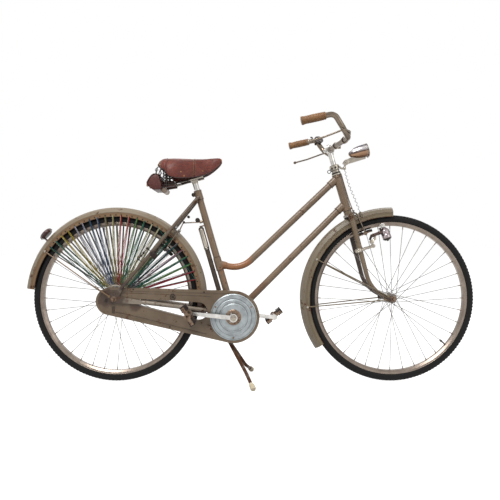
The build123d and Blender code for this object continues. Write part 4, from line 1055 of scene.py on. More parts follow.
class BICYCLE_OT_mudguard_fittings(BicycleOperator, bpy.types.Operator):
    """Adds rolled edges, twin lines, cord eyelets and stay bolts to the mudguards"""

    bl_idname = "bicycle.mudguard_fittings"
    bl_label = "Mudguard fittings"

    def execute(self, context):
        for name, guard in GUARDS.items():
            axle = guard["axle"]
            first = guard["start"] + 0.4
            last = guard["end"] - 0.4
            edges = []
            for side in (-1, 1):
                edges.append(arc_wire(axle, 0.3414, first, last, side * 0.0276, 0.0013))
            # painted shade: the rolled edges take the half-bright copy of the enamel
            assemble(f"{name}_mudguard_edges", edges, 60, "guard_edge", guard["body"])
            ribs = []
            for side in (-1, 1):
                for radius in (0.3535, 0.3585):
                    ribs.append(arc_wire(axle, radius, first, last, side * 0.0279, 0.0006))
            assemble(f"{name}_mudguard_lines", ribs, 60, "guard_line", guard["body"])
        eyelets = []
        for side in (-1, 1):
            place = wheel_point(REAR_AXLE, EYELET_RADIUS, EYELET_FIRST, side * 0.0282)
            rim = hoop(place, ACROSS, 0.0025, 0.00055, 12, 6)
            eyelets.append(around(rim, REAR_AXLE, NEAR, EYELET_COUNT, EYELET_STEP))
            place = wheel_point(REAR_AXLE, EYELET_RADIUS, EYELET_FIRST, side * 0.028)
            hole = cylinder(place, ACROSS * side, 0.0023, 0.0003, 10)
            eyelets.append(around(hole, REAR_AXLE, NEAR, EYELET_COUNT, EYELET_STEP))
        assemble("mudguard_eyelets", eyelets, 40, "black_steel", "frame")
        stay_bolts = []
        for axle, angle, reach, body in (
            (REAR_AXLE, 146.4, 0.3475, "frame"), (FRONT_AXLE, 152.5, 0.3465, "steering"),
            (FRONT_AXLE, 185.9, 0.3465, "steering"),
        ):
            for side in (-1, 1):
                place = wheel_point(axle, reach + 0.006, angle, side * 0.0281)
                stay_bolts.append((bolt(place, ACROSS * side, 0.0034, 0.0026), body))
        for body in ("frame", "steering"):
            parts = [part for head, owner in stay_bolts if owner == body for part in head]
            assemble(f"{body}_stay_bolts", parts, 30, "nickel", body)
        return {"FINISHED"}


# Chain case


class BICYCLE_OT_chain_case_fittings(BicycleOperator, bpy.types.Operator):
    """Adds the chain case's panel lines, rear joint, clip, screws and the stay's eyelet"""

    bl_idname = "bicycle.chain_case_fittings"
    bl_label = "Chain case fittings"

    def execute(self, context):
        face = -0.0575
        line = []
        route = [
            (-0.16, face, 0.359), (-0.4, face, 0.37), (-0.526, face, 0.3735), (-0.5445, face, 0.3715),
            (-0.5475, face, 0.356), (-0.545, face, 0.34), (-0.526, face, 0.335), (-0.485, face, 0.329),
            (-0.464, face, 0.324),
        ]
        line.append(wire(route, 0.001, 2))
        route = [
            (-0.56, face - 0.0006, 0.2965), (-0.5, face - 0.0006, 0.285), (-0.4, face - 0.0006, 0.26),
            (-0.3, face - 0.0006, 0.235), (-0.18, face - 0.0006, 0.205),
        ]
        line.append(wire(route, 0.0009, 2))
        assemble("chain_case_lines", line, 60, "case_line", "frame")
        joint = [
            block((-0.5673, face - 0.0007, 0.3), (0.0018, 0.0016, 0.039), (0, 0, 0), 0.0003),
            block((-0.561, face - 0.0003, 0.301), (0.01, 0.0006, 0.036), (0, 0, 0), 0.0002),
        ]
        assemble("chain_case_joint", joint, 30, "case_line", "frame")
        clip = [
            hoop((-0.3184, face - 0.0022, 0.356), ACROSS, 0.0105, 0.0013, 32, 8),
            cylinder((-0.3184, face - 0.0006, 0.356), NEAR, 0.0052, 0.0024, 24, 0.0008),
            block((-0.3184, face - 0.0012, 0.368), (0.012, 0.0016, 0.004), (0, 0, 0), 0.0006),
        ]
        assemble("chain_case_clip", clip, 30, "dark_fitting", "frame")
        screws = []
        for x, z in ((-0.48, 0.389), (-0.19, 0.377), (-0.02, 0.356), (-0.33, 0.234)):
            screws += screw((x, face - 0.0021, z), NEAR, 0.0034)
        assemble("chain_case_screws", screws, 30, "dark_fitting", "frame")
        cover = [
            hoop((-0.557, -0.064, 0.371), ACROSS, 0.0058, 0.0018, 28, 8),
            cylinder((-0.557, -0.06, 0.371), NEAR, 0.0034, 0.005, 6, 0.0004),
            block((-0.593, face - 0.003, 0.342), (0.01, 0.003, 0.014), (0, radians(20), 0), 0.001),
        ]
        assemble("rear_stay_eyelet", cover, 30, "dark_fitting", "frame")
        return {"FINISHED"}


# Saddle and bag

SADDLE_STATIONS = (
    (-0.3745, 0.06, 0.893, 0.917), (-0.362, 0.084, 0.88, 0.9275), (-0.348, 0.0935, 0.874, 0.9315),
    (-0.334, 0.0958, 0.852, 0.9328), (-0.3, 0.093, 0.842, 0.9338), (-0.24, 0.06, 0.847, 0.933),
    (-0.19, 0.033, 0.86, 0.9335), (-0.16, 0.0245, 0.876, 0.935), (-0.13, 0.0175, 0.901, 0.9352),
    (-0.1185, 0.008, 0.917, 0.93),
)
SEAM_X = -0.2308


def saddle_place(share):
    """Smoothed (x, half width, skirt height, crown height) along the saddle."""
    spot = share * (len(SADDLE_STATIONS) - 1)
    index = min(int(spot), len(SADDLE_STATIONS) - 2)
    part = spot - index
    before = SADDLE_STATIONS[max(index - 1, 0)]
    start = SADDLE_STATIONS[index]
    end = SADDLE_STATIONS[index + 1]
    after = SADDLE_STATIONS[min(index + 2, len(SADDLE_STATIONS) - 1)]
    values = []
    for p0, p1, p2, p3 in zip(before, start, end, after):
        slope_in = (p2 - p0) / 2
        slope_out = (p3 - p1) / 2
        values.append(
            p1 * (2 * part**3 - 3 * part**2 + 1)
            + p2 * (3 * part**2 - 2 * part**3)
            + slope_in * (part**3 - 2 * part**2 + part)
            + slope_out * (part**3 - part**2)
        )
    return values


def saddle_point(share, across, lift=0.0):
    """Point on the saddle's hide; across runs from -1 to 1 over the crown."""
    x, width, low, high = saddle_place(share)
    turn = radians(90) * (1 - abs(across))
    sign = 1 if across >= 0 else -1
    dip = 0.0035 * sin(pi * min(1.0, share * 1.15)) * (1 - abs(across))
    y = sign * (width + lift) * cos(turn) ** 0.62
    z = low + (high + lift - dip - low) * sin(turn) ** 0.82
    return Vector((x, y, z))


def saddle_share(x):
    """Share along the saddle at this X."""
    low, high = 0.0, 1.0
    for _ in range(30):
        middle = (low + high) / 2
        if saddle_place(middle)[0] < x:
            low = middle
        else:
            high = middle
    return (low + high) / 2


def thickened(obj, thickness, offset=-1.0):
    """Gives a skin its thickness."""
    activate(obj)
    skin = obj.modifiers.new("skin", "SOLIDIFY")
    skin.thickness = thickness
    skin.offset = offset
    bpy.ops.object.modifier_apply(modifier=skin.name)
    return obj


class BICYCLE_OT_saddle(BicycleOperator, bpy.types.Operator):
    """Shapes the leather saddle top with its seam, rolled edges, stitches and rivets"""

    bl_idname = "bicycle.saddle"
    bl_label = "Saddle"

    def execute(self, context):
        deselect()
        bpy.ops.mesh.primitive_grid_add(x_subdivisions=72, y_subdivisions=40, size=2)
        hide = context.object
        for vertex in hide.data.vertices:
            share = (vertex.co.x + 1) / 2
            point = saddle_point(share, vertex.co.y)
            wave = 0.0011 * sin(share * 46.0) * sin(abs(vertex.co.y) * 9.0) * abs(vertex.co.y)
            point.y += wave
            vertex.co = point
        thickened(hide, 0.0042)
        rounded(hide, 0.0012)
        piece = assemble("saddle_hide", [hide], 50, "saddle_leather", "frame")
        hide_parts("saddle_leather")

        edge = []
        for side in (-1, 1):
            route = [saddle_point(step / 26, side, 0.0006) + Vector((0, 0, 0.0012)) for step in range(27)]
            edge.append(wire(route, 0.0016, 2))
        route = [saddle_point(0.0, -1 + step / 8, 0.0) for step in range(17)]
        edge.append(wire(route, 0.0017, 2))
        share = saddle_share(SEAM_X)
        route = [saddle_point(share, -1 + step / 12, 0.0004) for step in range(25)]
        edge.append(wire(route, 0.0009, 2))
        for side in (-1, 1):
            route = []
            for step in range(12):
                across = side * (1 - 0.075 * step)
                share = saddle_share(-0.334 - 0.006 * sin(step * 0.55) - 0.001 * step)
                route.append(saddle_point(share, across, 0.0004))
            edge.append(wire(route, 0.001, 2))
        assemble("saddle_edge", edge, 60, "leather_edge", "frame")

        stitches = []
        for side in (-1, 1):
            for offset in (-0.0032, 0.0032):
                for step in range(13):
                    across = side * (0.96 - step * 0.062)
                    share = saddle_share(SEAM_X + offset)
                    start = saddle_point(share, across, 0.0005)
                    end = saddle_point(share, across - side * 0.036, 0.0005)
                    stitches.append(cylinder(start, end - start, 0.00045, (end - start).length, 6))
        assemble("saddle_stitches", stitches, 60, "thread", "frame")

        rivets = []
        spots = [(-0.2822, 0.86), (-0.2704, 0.965), (-0.1967, 0.88)]
        for x, across in spots:
            for side in (-1, 1):
                share = saddle_share(x)
                spot = saddle_point(share, side * across, 0.0)
                out = Vector((0, side, 0.18)).normalized()
                profile = [(0, 0.0023), (0.0008, 0.0022), (0.0014, 0.0014), (0.0016, 0.0)]
                rivets.append(turned(spot - out * 0.0004, out, profile, 16))
        for across in (-0.82, -0.5, -0.18, 0.18, 0.5, 0.82):
            spot = saddle_point(0.045, across)
            ahead = saddle_point(0.06, across) - spot
            out = ahead.cross(saddle_point(0.045, across + 0.02) - spot).normalized()
            profile = [(0, 0.0042), (0.0012, 0.004), (0.0022, 0.0026), (0.0024, 0.0)]
            rivets.append(turned(spot - out * 0.0004, out, profile, 18))
        for across in (-0.5, 0.5):
            spot = saddle_point(0.955, across)
            ahead = saddle_point(0.965, across) - spot
            out = ahead.cross(saddle_point(0.955, across + 0.04) - spot).normalized()
            rivets.append(turned(spot - out * 0.0004, out, [(0, 0.003), (0.001, 0.0028), (0.0016, 0.0)], 16))
        assemble("saddle_rivets", rivets, 40, "brass", "frame")
        return {"FINISHED"}


SEAT_CLAMP = BRACKET + SEAT_UP * ((0.846 - BRACKET_HEIGHT) / SEAT_UP.z)
SPRING_X = -0.345
SPRING_ACROSS = 0.055


class BICYCLE_OT_saddle_frame(BicycleOperator, bpy.types.Operator):
    """Bends the saddle's rails, winds its springs and bolts its clamp"""

    bl_idname = "bicycle.saddle_frame"
    bl_label = "Saddle frame"

    def execute(self, context):
        dark = []
        bright = []
        plates = []
        hides = []
        for side in (-1, 1):
            across = side * SPRING_ACROSS
            for gap in (0.0, 0.009):
                route = [
                    (-0.133, side * 0.004, 0.911), (-0.142, side * 0.012, 0.9),
                    (-0.17, side * (0.018 + gap * 0.4), 0.878), (-0.2, side * (0.02 + gap), 0.857),
                    (-0.235, side * (0.021 + gap), 0.844), (-0.27, side * (0.03 + gap), 0.836),
                    (-0.325, side * (0.049 + gap * 0.5), 0.8215), (-0.339, across, 0.819),
                    (-0.345, across, 0.8195),
                ]
                dark.append(wire(route, 0.0033, 3))
            coil = []
            for step in range(5 * 20 + 1):
                turn = step / 20 * 2 * pi
                height = 0.8215 + 0.059 * step / 100
                reach = 0.0138 if 6 < step < 94 else 0.0128
                coil.append(Vector((SPRING_X + reach * cos(turn), across + reach * sin(turn), height)))
            bright.append(wire(coil, 0.0023, 2))
            dark.append(cylinder((SPRING_X, across, 0.8165), (0, 0, 1), 0.0155, 0.0022, 32, 0.0006))
            dark.append(cylinder((SPRING_X, across, 0.883), (0, 0, 1), 0.0155, 0.0022, 32, 0.0006))
            dark.append(cylinder((SPRING_X, across, 0.812), (0, 0, 1), 0.0045, 0.076, 12, 0.0006))
            route = [
                (SPRING_X, across, 0.886), (-0.36, side * 0.054, 0.888),
                (-0.376, side * 0.048, 0.893), (-0.38, side * 0.04, 0.902),
            ]
            dark.append(wire(route, 0.0036, 3))
            plate_turn = (0, radians(-13.1), 0)
            plates.append(block((-0.2575, side * 0.036, 0.8394), (0.128, 0.0018, 0.008), plate_turn, 0.0006))
            pad_turn = (0, radians(-9), 0)
            hides.append(block((-0.3345, side * 0.044, 0.8215), (0.046, 0.012, 0.023), pad_turn, 0.003))
            bright.append(hoop((-0.3859, side * 0.05, 0.88), ACROSS, 0.0056, 0.0013, 24, 8))
            route = [
                (-0.3859, side * 0.05, 0.8745), (-0.3868, side * 0.05, 0.87),
                (-0.385, side * 0.05, 0.865), (-0.3862, side * 0.05, 0.86),
            ]
            bright.append(wire(route, 0.0013, 2))
        dark.append(cylinder((SPRING_X, -0.062, 0.8868), ACROSS, 0.004, 0.124, 20, 0.0006))
        cantle = []
        for t in (-1, -0.6, -0.2, 0.2, 0.6, 1):
            cantle.append((-0.3795 + 0.006 * abs(t) ** 2, 0.058 * t, 0.9065 - 0.004 * abs(t)))
        dark.append(wire(cantle, 0.0042, 3))
        piece = assemble("saddle_rails", dark, 50, "dark_fitting", "frame")
        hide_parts("saddle_frame")
        clamp = [
            cylinder(SEAT_CLAMP - ACROSS * 0.033, ACROSS, 0.0048, 0.066, 16, 0.0006),
            cylinder(SEAT_CLAMP - ACROSS * 0.016, ACROSS, 0.0135, 0.032, 32, 0.001),
        ]
        for side in (-1, 1):
            out = ACROSS * side
            clamp.append(cylinder(SEAT_CLAMP + out * 0.0165, out, 0.0158, 0.005, 32, 0.001))
            clamp.append(cylinder(SEAT_CLAMP + out * 0.0225, out, 0.013, 0.004, 28, 0.0008))
            clamp += bolt(SEAT_CLAMP + out * 0.0265, out, 0.0072, 0.0058)
        clamp.append(cylinder(SEAT_CLAMP - SEAT_UP * 0.02, SEAT_UP, 0.0129, 0.01, 32, 0.001))
        assemble("saddle_clamp", clamp, 35, "nickel", "frame")
        assemble("saddle_springs", bright, 60, "dark_fitting", "frame")
        assemble("saddle_plates", plates, 40, "nickel", "frame")
        assemble("saddle_pads", hides, 40, "strap_leather", "frame")
        return {"FINISHED"}


BAG_HALF = 0.071
BAG_PROFILE = (
    (0.7972, -0.396, -0.372), (0.804, -0.408, -0.364), (0.812, -0.416, -0.3625), (0.822, -0.422, -0.3625),
    (0.834, -0.418, -0.366), (0.846, -0.41, -0.37), (0.859, -0.401, -0.376),
)


def bag_depth(height):
    """Back and front of the bag at this height."""
    for (low, back, front), (high, next_back, next_front) in zip(BAG_PROFILE, BAG_PROFILE[1:]):
        if height <= high:
            part = max(0.0, (height - low) / (high - low))
            part = part * part * (3 - 2 * part)
            return back + (next_back - back) * part, front + (next_front - front) * part
    return BAG_PROFILE[-1][1:]


class BICYCLE_OT_tool_bag(BicycleOperator, bpy.types.Operator):
    """Sews the saddle bag with its flap, piping, straps and buckles"""

    bl_idname = "bicycle.tool_bag"
    bl_label = "Tool bag"

    def execute(self, context):
        deselect()
        bpy.ops.mesh.primitive_cube_add(size=2)
        bag = context.object
        bpy.ops.object.mode_set(mode="EDIT")
        bpy.ops.mesh.select_all(action="SELECT")
        bpy.ops.mesh.subdivide(number_cuts=15)
        bpy.ops.object.mode_set(mode="OBJECT")
        low = BAG_PROFILE[0][0]
        high = BAG_PROFILE[-1][0]
        for vertex in bag.data.vertices:
            u, v, w = vertex.co
            height = low + (high - low) * (w + 1) / 2
            back, front = bag_depth(height)
            sag = 0.0022 * (1 - abs(v) ** 3) * sin((v + 1) * pi * 3.0) * (1 - abs(w))
            middle = (back + front) / 2
            half = (front - back) / 2
            swell = 1 - 0.1 * abs(v) ** 4
            droop = 0.003 * (1 - v * v) * (-0.6 if w < 0 else 0.4)
            x = middle + half * u * swell + sag * u
            y = BAG_HALF * v * (1 - 0.05 * abs(w) ** 3) * (1 - 0.03 * u * u)
            vertex.co = (x, y, height + droop * abs(w))
        rounded(bag, 0.006, 3)
        piece = assemble("bag_shell", [bag], 60, "bag_leather", "frame")
        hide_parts("tool_bag")

        flap_route = [
            Vector((-0.374, 0, 0.857)), Vector((-0.384, 0, 0.8612)), Vector((-0.396, 0, 0.8606)),
            Vector((-0.406, 0, 0.8535)), Vector((-0.415, 0, 0.84)), Vector((-0.4226, 0, 0.827)),
            Vector((-0.4212, 0, 0.818)), Vector((-0.415, 0, 0.811)),
        ]

        def strip(route, half, thickness, columns=12):
            """Leather strip that follows a route across the bicycle."""
            deselect()
            bpy.ops.mesh.primitive_grid_add(x_subdivisions=28, y_subdivisions=columns, size=2)
            skin = context.object
            for vertex in skin.data.vertices:
                spot = (vertex.co.x + 1) / 2 * (len(route) - 1)
                index = min(int(spot), len(route) - 2)
                part = spot - index
                point = route[index].lerp(route[index + 1], part)
                bow = 0.0012 * (1 - vertex.co.y**2)
                vertex.co = (point.x - bow, point.y + half * vertex.co.y, point.z + bow * 0.5)
            skin.data.flip_normals()
            return thickened(skin, thickness, 1.0)

        flap = strip(flap_route, BAG_HALF * 0.97, 0.0022)
        trim = []
        for side in (-1, 1):
            route = []
            for height, back, front in BAG_PROFILE:
                route.append(Vector((back - 0.0002, side * BAG_HALF * 0.955, height)))
            trim.append(wire(route, 0.0012, 2))
            edge = side * BAG_HALF * 0.965
            route = [(point.x - 0.001, edge, point.z + 0.0008) for point in flap_route]
            trim.append(wire(route, 0.0013, 2))
        straps = []
        buckles = []
        for across in (-0.038, 0.038):
            route = [point + Vector((-0.0026, across, 0.0022)) for point in flap_route]
            route.append(Vector((-0.406, across, 0.804)))
            route.append(Vector((-0.397, across, 0.798)))
            straps.append(strip(route, 0.0072, 0.0018, 2))
            spot = Vector((-0.4256, across, 0.821))
            frame_size = 0.0105
            corners = [(-1, -1), (1, -1), (1, 1), (-1, 1)]
            route = [spot + Vector((-0.0012, frame_size * a, frame_size * 0.75 * b)) for a, b in corners]
            buckles.append(wire(route, 0.0011, 2, 2, True))
            buckles.append(cylinder(spot + Vector((-0.0016, 0, -0.008)), (0, 0, 1), 0.0009, 0.0155, 10))
            loop = [
                Vector((-0.374, across, 0.85)), Vector((-0.37, across, 0.87)),
                Vector((-0.373, across, 0.89)), Vector((-0.383, across, 0.893)),
                Vector((-0.389, across, 0.876)), Vector((-0.39, across, 0.86)),
            ]
            straps.append(strip(loop, 0.006, 0.0016, 2))
        assemble("bag_flap", [flap], 40, "bag_leather", "frame")
        assemble("bag_trim", trim, 60, "strap_leather", "frame")
        assemble("bag_straps", straps, 40, "strap_leather", "frame")
        assemble("bag_buckles", buckles, 40, "brass", "frame")

        centre = box_centre("tool_tube")
        low_corner, high_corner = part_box("tool_tube")
        half_length = (high_corner[1] - low_corner[1]) / 2
        tube = [
            turned(
                centre - ACROSS * half_length, ACROSS,
                [
                    (0, 0.0), (0, 0.01), (0.002, 0.0118), (0.006, 0.0119), (0.0064, 0.0112),
                    (0.016, 0.0112), (0.0164, 0.0119), (half_length - 0.012, 0.0119),
                    (half_length - 0.011, 0.0113), (half_length + 0.011, 0.0113),
                    (half_length + 0.012, 0.0119), (2 * half_length - 0.0164, 0.0119),
                    (2 * half_length - 0.016, 0.0112), (2 * half_length - 0.0064, 0.0112),
                    (2 * half_length - 0.006, 0.0119), (2 * half_length - 0.002, 0.0118),
                    (2 * half_length, 0.01), (2 * half_length, 0.0),
                ],
                40,
            )
        ]
        piece = assemble("tool_tin", tube, 35, "tin_metal", "frame")
        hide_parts("tool_tube")
        return {"FINISHED"}


# Pedals

CRANK_LENGTH = 0.178
CRANK_TURNS = {-1: 174.0, 1: 354.0}
PEDALS = {"right": (-1, -58.0), "left": (1, 40.0)}


class BICYCLE_OT_pedals(BicycleOperator, bpy.types.Operator):
    """Moulds the pedals' grooved rubber blocks and pins them between end plates"""

    bl_idname = "bicycle.pedals"
    bl_label = "Pedals"

    def execute(self, context):
        for name, (side, tilt) in PEDALS.items():
            centre = wheel_point(BRACKET, CRANK_LENGTH, CRANK_TURNS[side])
            along = Vector((cos(radians(tilt)), 0, sin(radians(tilt))))
            upward = Vector((-along.z, 0, along.x))
            body = f"{name}_pedal"
            start = side * 0.097
            rubbers = []
            for end in (-1, 1):
                middle = centre + along * end * 0.031
                for face in (-1, 1):
                    for rib in (-1, 0, 1):
                        spot = middle + along * rib * 0.0074 + upward * face * 0.0087
                        spot.y = start + side * 0.046
                        rubbers.append(block(spot, (0.0058, 0.084, 0.0046), (0, -radians(tilt), 0), 0.0012))
                core = middle.copy()
                core.y = start + side * 0.046
                rubbers.append(block(core, (0.0218, 0.085, 0.015), (0, -radians(tilt), 0), 0.0016))
                for notch in range(-3, 4):
                    spot = middle + along * end * 0.0102
                    spot.y = start + side * (0.046 + notch * 0.0125)
                    rubbers.append(block(spot, (0.002, 0.008, 0.017), (0, -radians(tilt), 0), 0.0006))
            piece = assemble(f"{name}_pedal_rubbers", rubbers, 35, "pedal_rubber", body)
            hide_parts(f"pedal_{name}")
            metal = []
            for depth in (0.0015, 0.0905):
                spot = Vector((centre.x, start + side * (depth - 0.0013), centre.z))
                metal.append(cylinder(spot, ACROSS * side, 0.0125, 0.0026, 32, 0.0005))
                spot = Vector((centre.x, start + side * depth, centre.z))
                metal.append(block(spot, (0.078, 0.0024, 0.013), (0, -radians(tilt), 0), 0.001))
            for depth, radius, length, bevel in (
                (0.001, 0.0092, 0.084, 0.0006), (0.088, 0.0085, 0.0038, 0.001),
            ):
                spot = Vector((centre.x, start + side * depth, centre.z))
                metal.append(cylinder(spot, ACROSS * side, radius, length, 28, bevel))
            for end in (-1, 1):
                spot = centre + along * end * 0.031
                spot.y = start + side * 0.0896
                metal += bolt(spot, ACROSS * side, 0.0042, 0.0012)
            assemble(f"{name}_pedal_cage", metal, 35, "rusty_bright", body)
        return {"FINISHED"}


# Handlebar, stem and lamp

BAR_CENTRE = Vector((0.335, 0.0, 0.971))
BAR_CORNER = Vector((0.312, 0.256, 1.062))
BAR_END = Vector((0.187, 0.256, 1.034))
GRIP_OFFSET = 0.034


def on_side(point, side):
    """The same point on the other side when side is -1."""
    return Vector((point.x, side * point.y, point.z))


class BICYCLE_OT_grips(BicycleOperator, bpy.types.Operator):
    """Turns the ribbed grips with their flared ends"""

    bl_idname = "bicycle.grips"
    bl_label = "Grips"

    def execute(self, context):
        course = (BAR_END - BAR_CORNER).normalized()
        start = BAR_CORNER + course * GRIP_OFFSET
        length = (BAR_END - start).length
        profile = [(0.0, 0.0113), (0.0, 0.0136), (0.0012, 0.0148), (0.006, 0.0152), (0.0066, 0.0143)]
        for rib in range(11):
            foot = 0.0085 + rib * 0.0062
            swell = 0.0006 * sin(rib / 10 * pi)
            profile += [(foot, 0.0146 + swell), (foot + 0.0012, 0.0152 + swell)]
            profile += [(foot + 0.0042, 0.0152 + swell), (foot + 0.0054, 0.0146 + swell)]
        profile += [
            (length - 0.014, 0.0152), (length - 0.007, 0.0164), (length - 0.0022, 0.0165),
            (length - 0.0004, 0.015), (length, 0.0112), (length, 0.0),
        ]
        grips = []
        for side in (-1, 1):
            grips.append(turned(on_side(start, side), on_side(course, side), profile, 40))
        piece = assemble("ribbed_grips", grips, 40, "grip", "steering")
        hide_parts("grips")
        return {"FINISHED"}


BELL_AT = Vector((0.319, 0.253, 1.046))
BELL_COURSE = Vector((0.2, -0.68, 0.7)).normalized()


class BICYCLE_OT_bell(BicycleOperator, bpy.types.Operator):
    """Builds the bell: band, post, gear housing, dome and thumb lever"""

    bl_idname = "bicycle.bell"
    bl_label = "Bell"

    def execute(self, context):
        dome = turned(
            BELL_AT, BELL_COURSE,
            [
                (0.0206, 0.0), (0.0206, 0.02), (0.0194, 0.0206), (0.0194, 0.022), (0.0205, 0.0222),
                (0.023, 0.022), (0.027, 0.0205), (0.0305, 0.0175), (0.033, 0.013), (0.0345, 0.008),
                (0.0349, 0.0042), (0.036, 0.004), (0.0364, 0.0024), (0.0364, 0.0),
            ],
            48,
        )
        housing = turned(
            BELL_AT, BELL_COURSE,
            [
                (0.002, 0.0), (0.002, 0.0058), (0.012, 0.0058), (0.0125, 0.016), (0.0135, 0.0195),
                (0.017, 0.02), (0.0186, 0.02), (0.0186, 0.0),
            ],
            40,
        )
        piece = assemble("bell_dome", [dome], 40, "bell_chrome", "steering")
        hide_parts("bell")
        side = BELL_COURSE.cross(Vector((1, 0, 0))).normalized()
        back = BELL_COURSE.cross(side).normalized()
        if back.x > 0:
            back = -back
        root = BELL_AT + BELL_COURSE * 0.0155
        lever = [
            housing,
            wire(
                [
                    root + back * 0.016, root + back * 0.024 + BELL_COURSE * 0.002,
                    root + back * 0.031 + BELL_COURSE * 0.006, root + back * 0.035 + BELL_COURSE * 0.01,
                ],
                0.0016, 2,
            ),
            cylinder(root + back * 0.036 + BELL_COURSE * 0.009, BELL_COURSE, 0.0062, 0.0024, 28, 0.0008),
        ]
        course = (BAR_CORNER - Vector((0.345, 0.247, 1.012))).normalized()
        lever.append(hoop(BELL_AT, course, 0.0124, 0.0016, 32, 8))
        lever.append(hoop(BELL_AT + course * 0.004, course, 0.0124, 0.0016, 32, 8))
        assemble("bell_housing", lever, 40, "dark_fitting", "steering")
        return {"FINISHED"}


class BICYCLE_OT_steering_fittings(BicycleOperator, bpy.types.Operator):
    """Adds the stem's rings and bolts, the headset's nuts and ring, and the brake's pull rod"""

    bl_idname = "bicycle.steering_fittings"
    bl_label = "Steering fittings"

    def execute(self, context):
        bright = []
        for across in (-0.0155, -0.0105, -0.0055, 0.0, 0.0055, 0.0105, 0.0155):
            spot = Vector((BAR_CENTRE.x + 0.0025, across, BAR_CENTRE.z + 0.0007))
            bright.append(hoop(spot, ACROSS, 0.0162, 0.001, 48, 8))
        bright.append(cylinder(steer_point(0.986), STEER_UP, 0.0058, 0.007, 6, 0.0008))
        for side in (-1, 1):
            spot = Vector((BAR_CENTRE.x - 0.018, side * 0.0088, BAR_CENTRE.z - 0.003))
            bright += bolt(spot, ACROSS * side, 0.0052, 0.0038)
        assemble("stem_fittings", bright, 40, "bright", "steering")

        dark = []
        for height, radius, depth in ((0.8905, 0.0213, 0.008), (0.8715, 0.0195, 0.005)):
            dark.append(cylinder(steer_point(height), STEER_UP, radius, depth, 8, 0.0008))
        dark.append(hoop(steer_point(0.885), STEER_UP, 0.017, 0.0014, 40, 8))
        dark.append(hoop(steer_point(0.864), STEER_UP, 0.02, 0.0012, 40, 8))
        ring_at = steer_point(0.886) - STEER_FRONT * 0.0245
        dark.append(hoop(ring_at - STEER_FRONT * 0.002, ACROSS, 0.0068, 0.0015, 28, 8))
        dark.append(cylinder(ring_at + STEER_FRONT * 0.0035, STEER_FRONT, 0.0022, 0.008, 12, 0.0004))
        assemble("headset_nuts", dark, 30, "dark_fitting", "steering")

        cups = []
        for height in (0.7175, 0.857):
            cups.append(hoop(steer_point(height), STEER_UP, 0.0198, 0.0011, 48, 8))
            cups.append(hoop(steer_point(height + 0.004), STEER_UP, 0.0198, 0.0009, 48, 8))
        assemble("head_tube_rings", cups, 40, "rusty_bright", "frame")

        rods = []
        pull_top = Vector((0.438, 0.0, 0.705))
        route = [
            steer_point(0.864) + STEER_FRONT * 0.0195,
            steer_point(0.83) + STEER_FRONT * 0.0194,
            steer_point(0.79) + STEER_FRONT * 0.0194,
            steer_point(0.736) + STEER_FRONT * 0.02,
            pull_top,
        ]
        rods.append(wire(route, 0.0022, 2))
        rods.append(cylinder(pull_top + Vector((-0.0015, 0, 0.006)), (-0.32, 0, 1), 0.005, 0.006, 6, 0.0004))
        rods.append(cylinder((0.376, -0.047, 0.9895), ACROSS, 0.0048, 0.094, 20, 0.0006))
        rods.append(block((0.3765, 0, 0.985), (0.011, 0.013, 0.018), (0, 0, 0), 0.0016))
        assemble("brake_pull_rod", rods, 40, "bar_plating", "steering")
        return {"FINISHED"}


LAMP_CENTRE = Vector((0.462, 0.0, 0.963))
LAMP_TILT = radians(14.0)
LAMP_COURSE = Vector((cos(LAMP_TILT), 0, sin(LAMP_TILT)))
LAMP_UP = Vector((-sin(LAMP_TILT), 0, cos(LAMP_TILT)))
LAMP_LENGTH = 0.088
LAMP_BACK = LAMP_CENTRE - LAMP_COURSE * LAMP_LENGTH * 0.55
LAMP_CLAMP = Vector((0.404, 0.0, 0.918))


class BICYCLE_OT_lamp(BicycleOperator, bpy.types.Operator):
    """Spins the head lamp's shell, rims its glass and builds its ribbed clamp block"""

    bl_idname = "bicycle.lamp"
    bl_label = "Lamp"

    def execute(self, context):
        shell = turned(
            LAMP_BACK, LAMP_COURSE,
            [
                (0.0, 0.0), (0.0006, 0.004), (0.0026, 0.0085), (0.006, 0.0122), (0.0123, 0.0165),
                (0.0229, 0.0213), (0.0352, 0.0248), (0.0493, 0.027), (0.0634, 0.0278), (0.072, 0.0279),
                (0.0724, 0.0283), (0.0792, 0.0284), (0.0796, 0.027), (0.08, 0.0),
            ],
            64,
        )
        piece = assemble("lamp_shell", [shell], 40, "lamp_chrome", "steering")
        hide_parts("headlamp")
        front = LAMP_BACK + LAMP_COURSE * 0.0815
        trim = [
            hoop(front, LAMP_COURSE, 0.0283, 0.0013, 64, 10),
            hoop(LAMP_BACK + LAMP_COURSE * 0.0722, LAMP_COURSE, 0.0281, 0.0008, 64, 8),
            cylinder(LAMP_BACK + LAMP_COURSE * 0.076 - LAMP_UP * 0.033, LAMP_UP, 0.0028, 0.006, 12, 0.0004),
        ]
        assemble("lamp_trim", trim, 40, "nickel", "steering")

        lean = radians(47)
        holder = [block(LAMP_CLAMP, (0.025, 0.018, 0.018), (0, -lean, 0), 0.0022)]
        for rib in range(4):
            shift = (rib - 1.5) * 0.0046
            spot = LAMP_CLAMP + Vector((-sin(lean) * shift, 0, cos(lean) * shift))
            holder.append(block(spot, (0.0266, 0.0204, 0.0022), (0, -lean, 0), 0.0008))
        for side in (-1, 1):
            holder += bolt(LAMP_CLAMP + ACROSS * side * 0.0096, ACROSS * side, 0.0044, 0.003)
        assemble("lamp_bracket_block", holder, 35, "nickel", "steering")
        return {"FINISHED"}


WIRE_ROUTE = (
    (0.398, -0.006, 0.888), (0.404, -0.02, 0.846), (0.418, -0.034, 0.8), (0.437, -0.042, 0.752),
    (0.456, -0.03, 0.708),
)
WIRE_COIL_RADIUS = 0.0033
WIRE_CORE_RADIUS = 0.0011


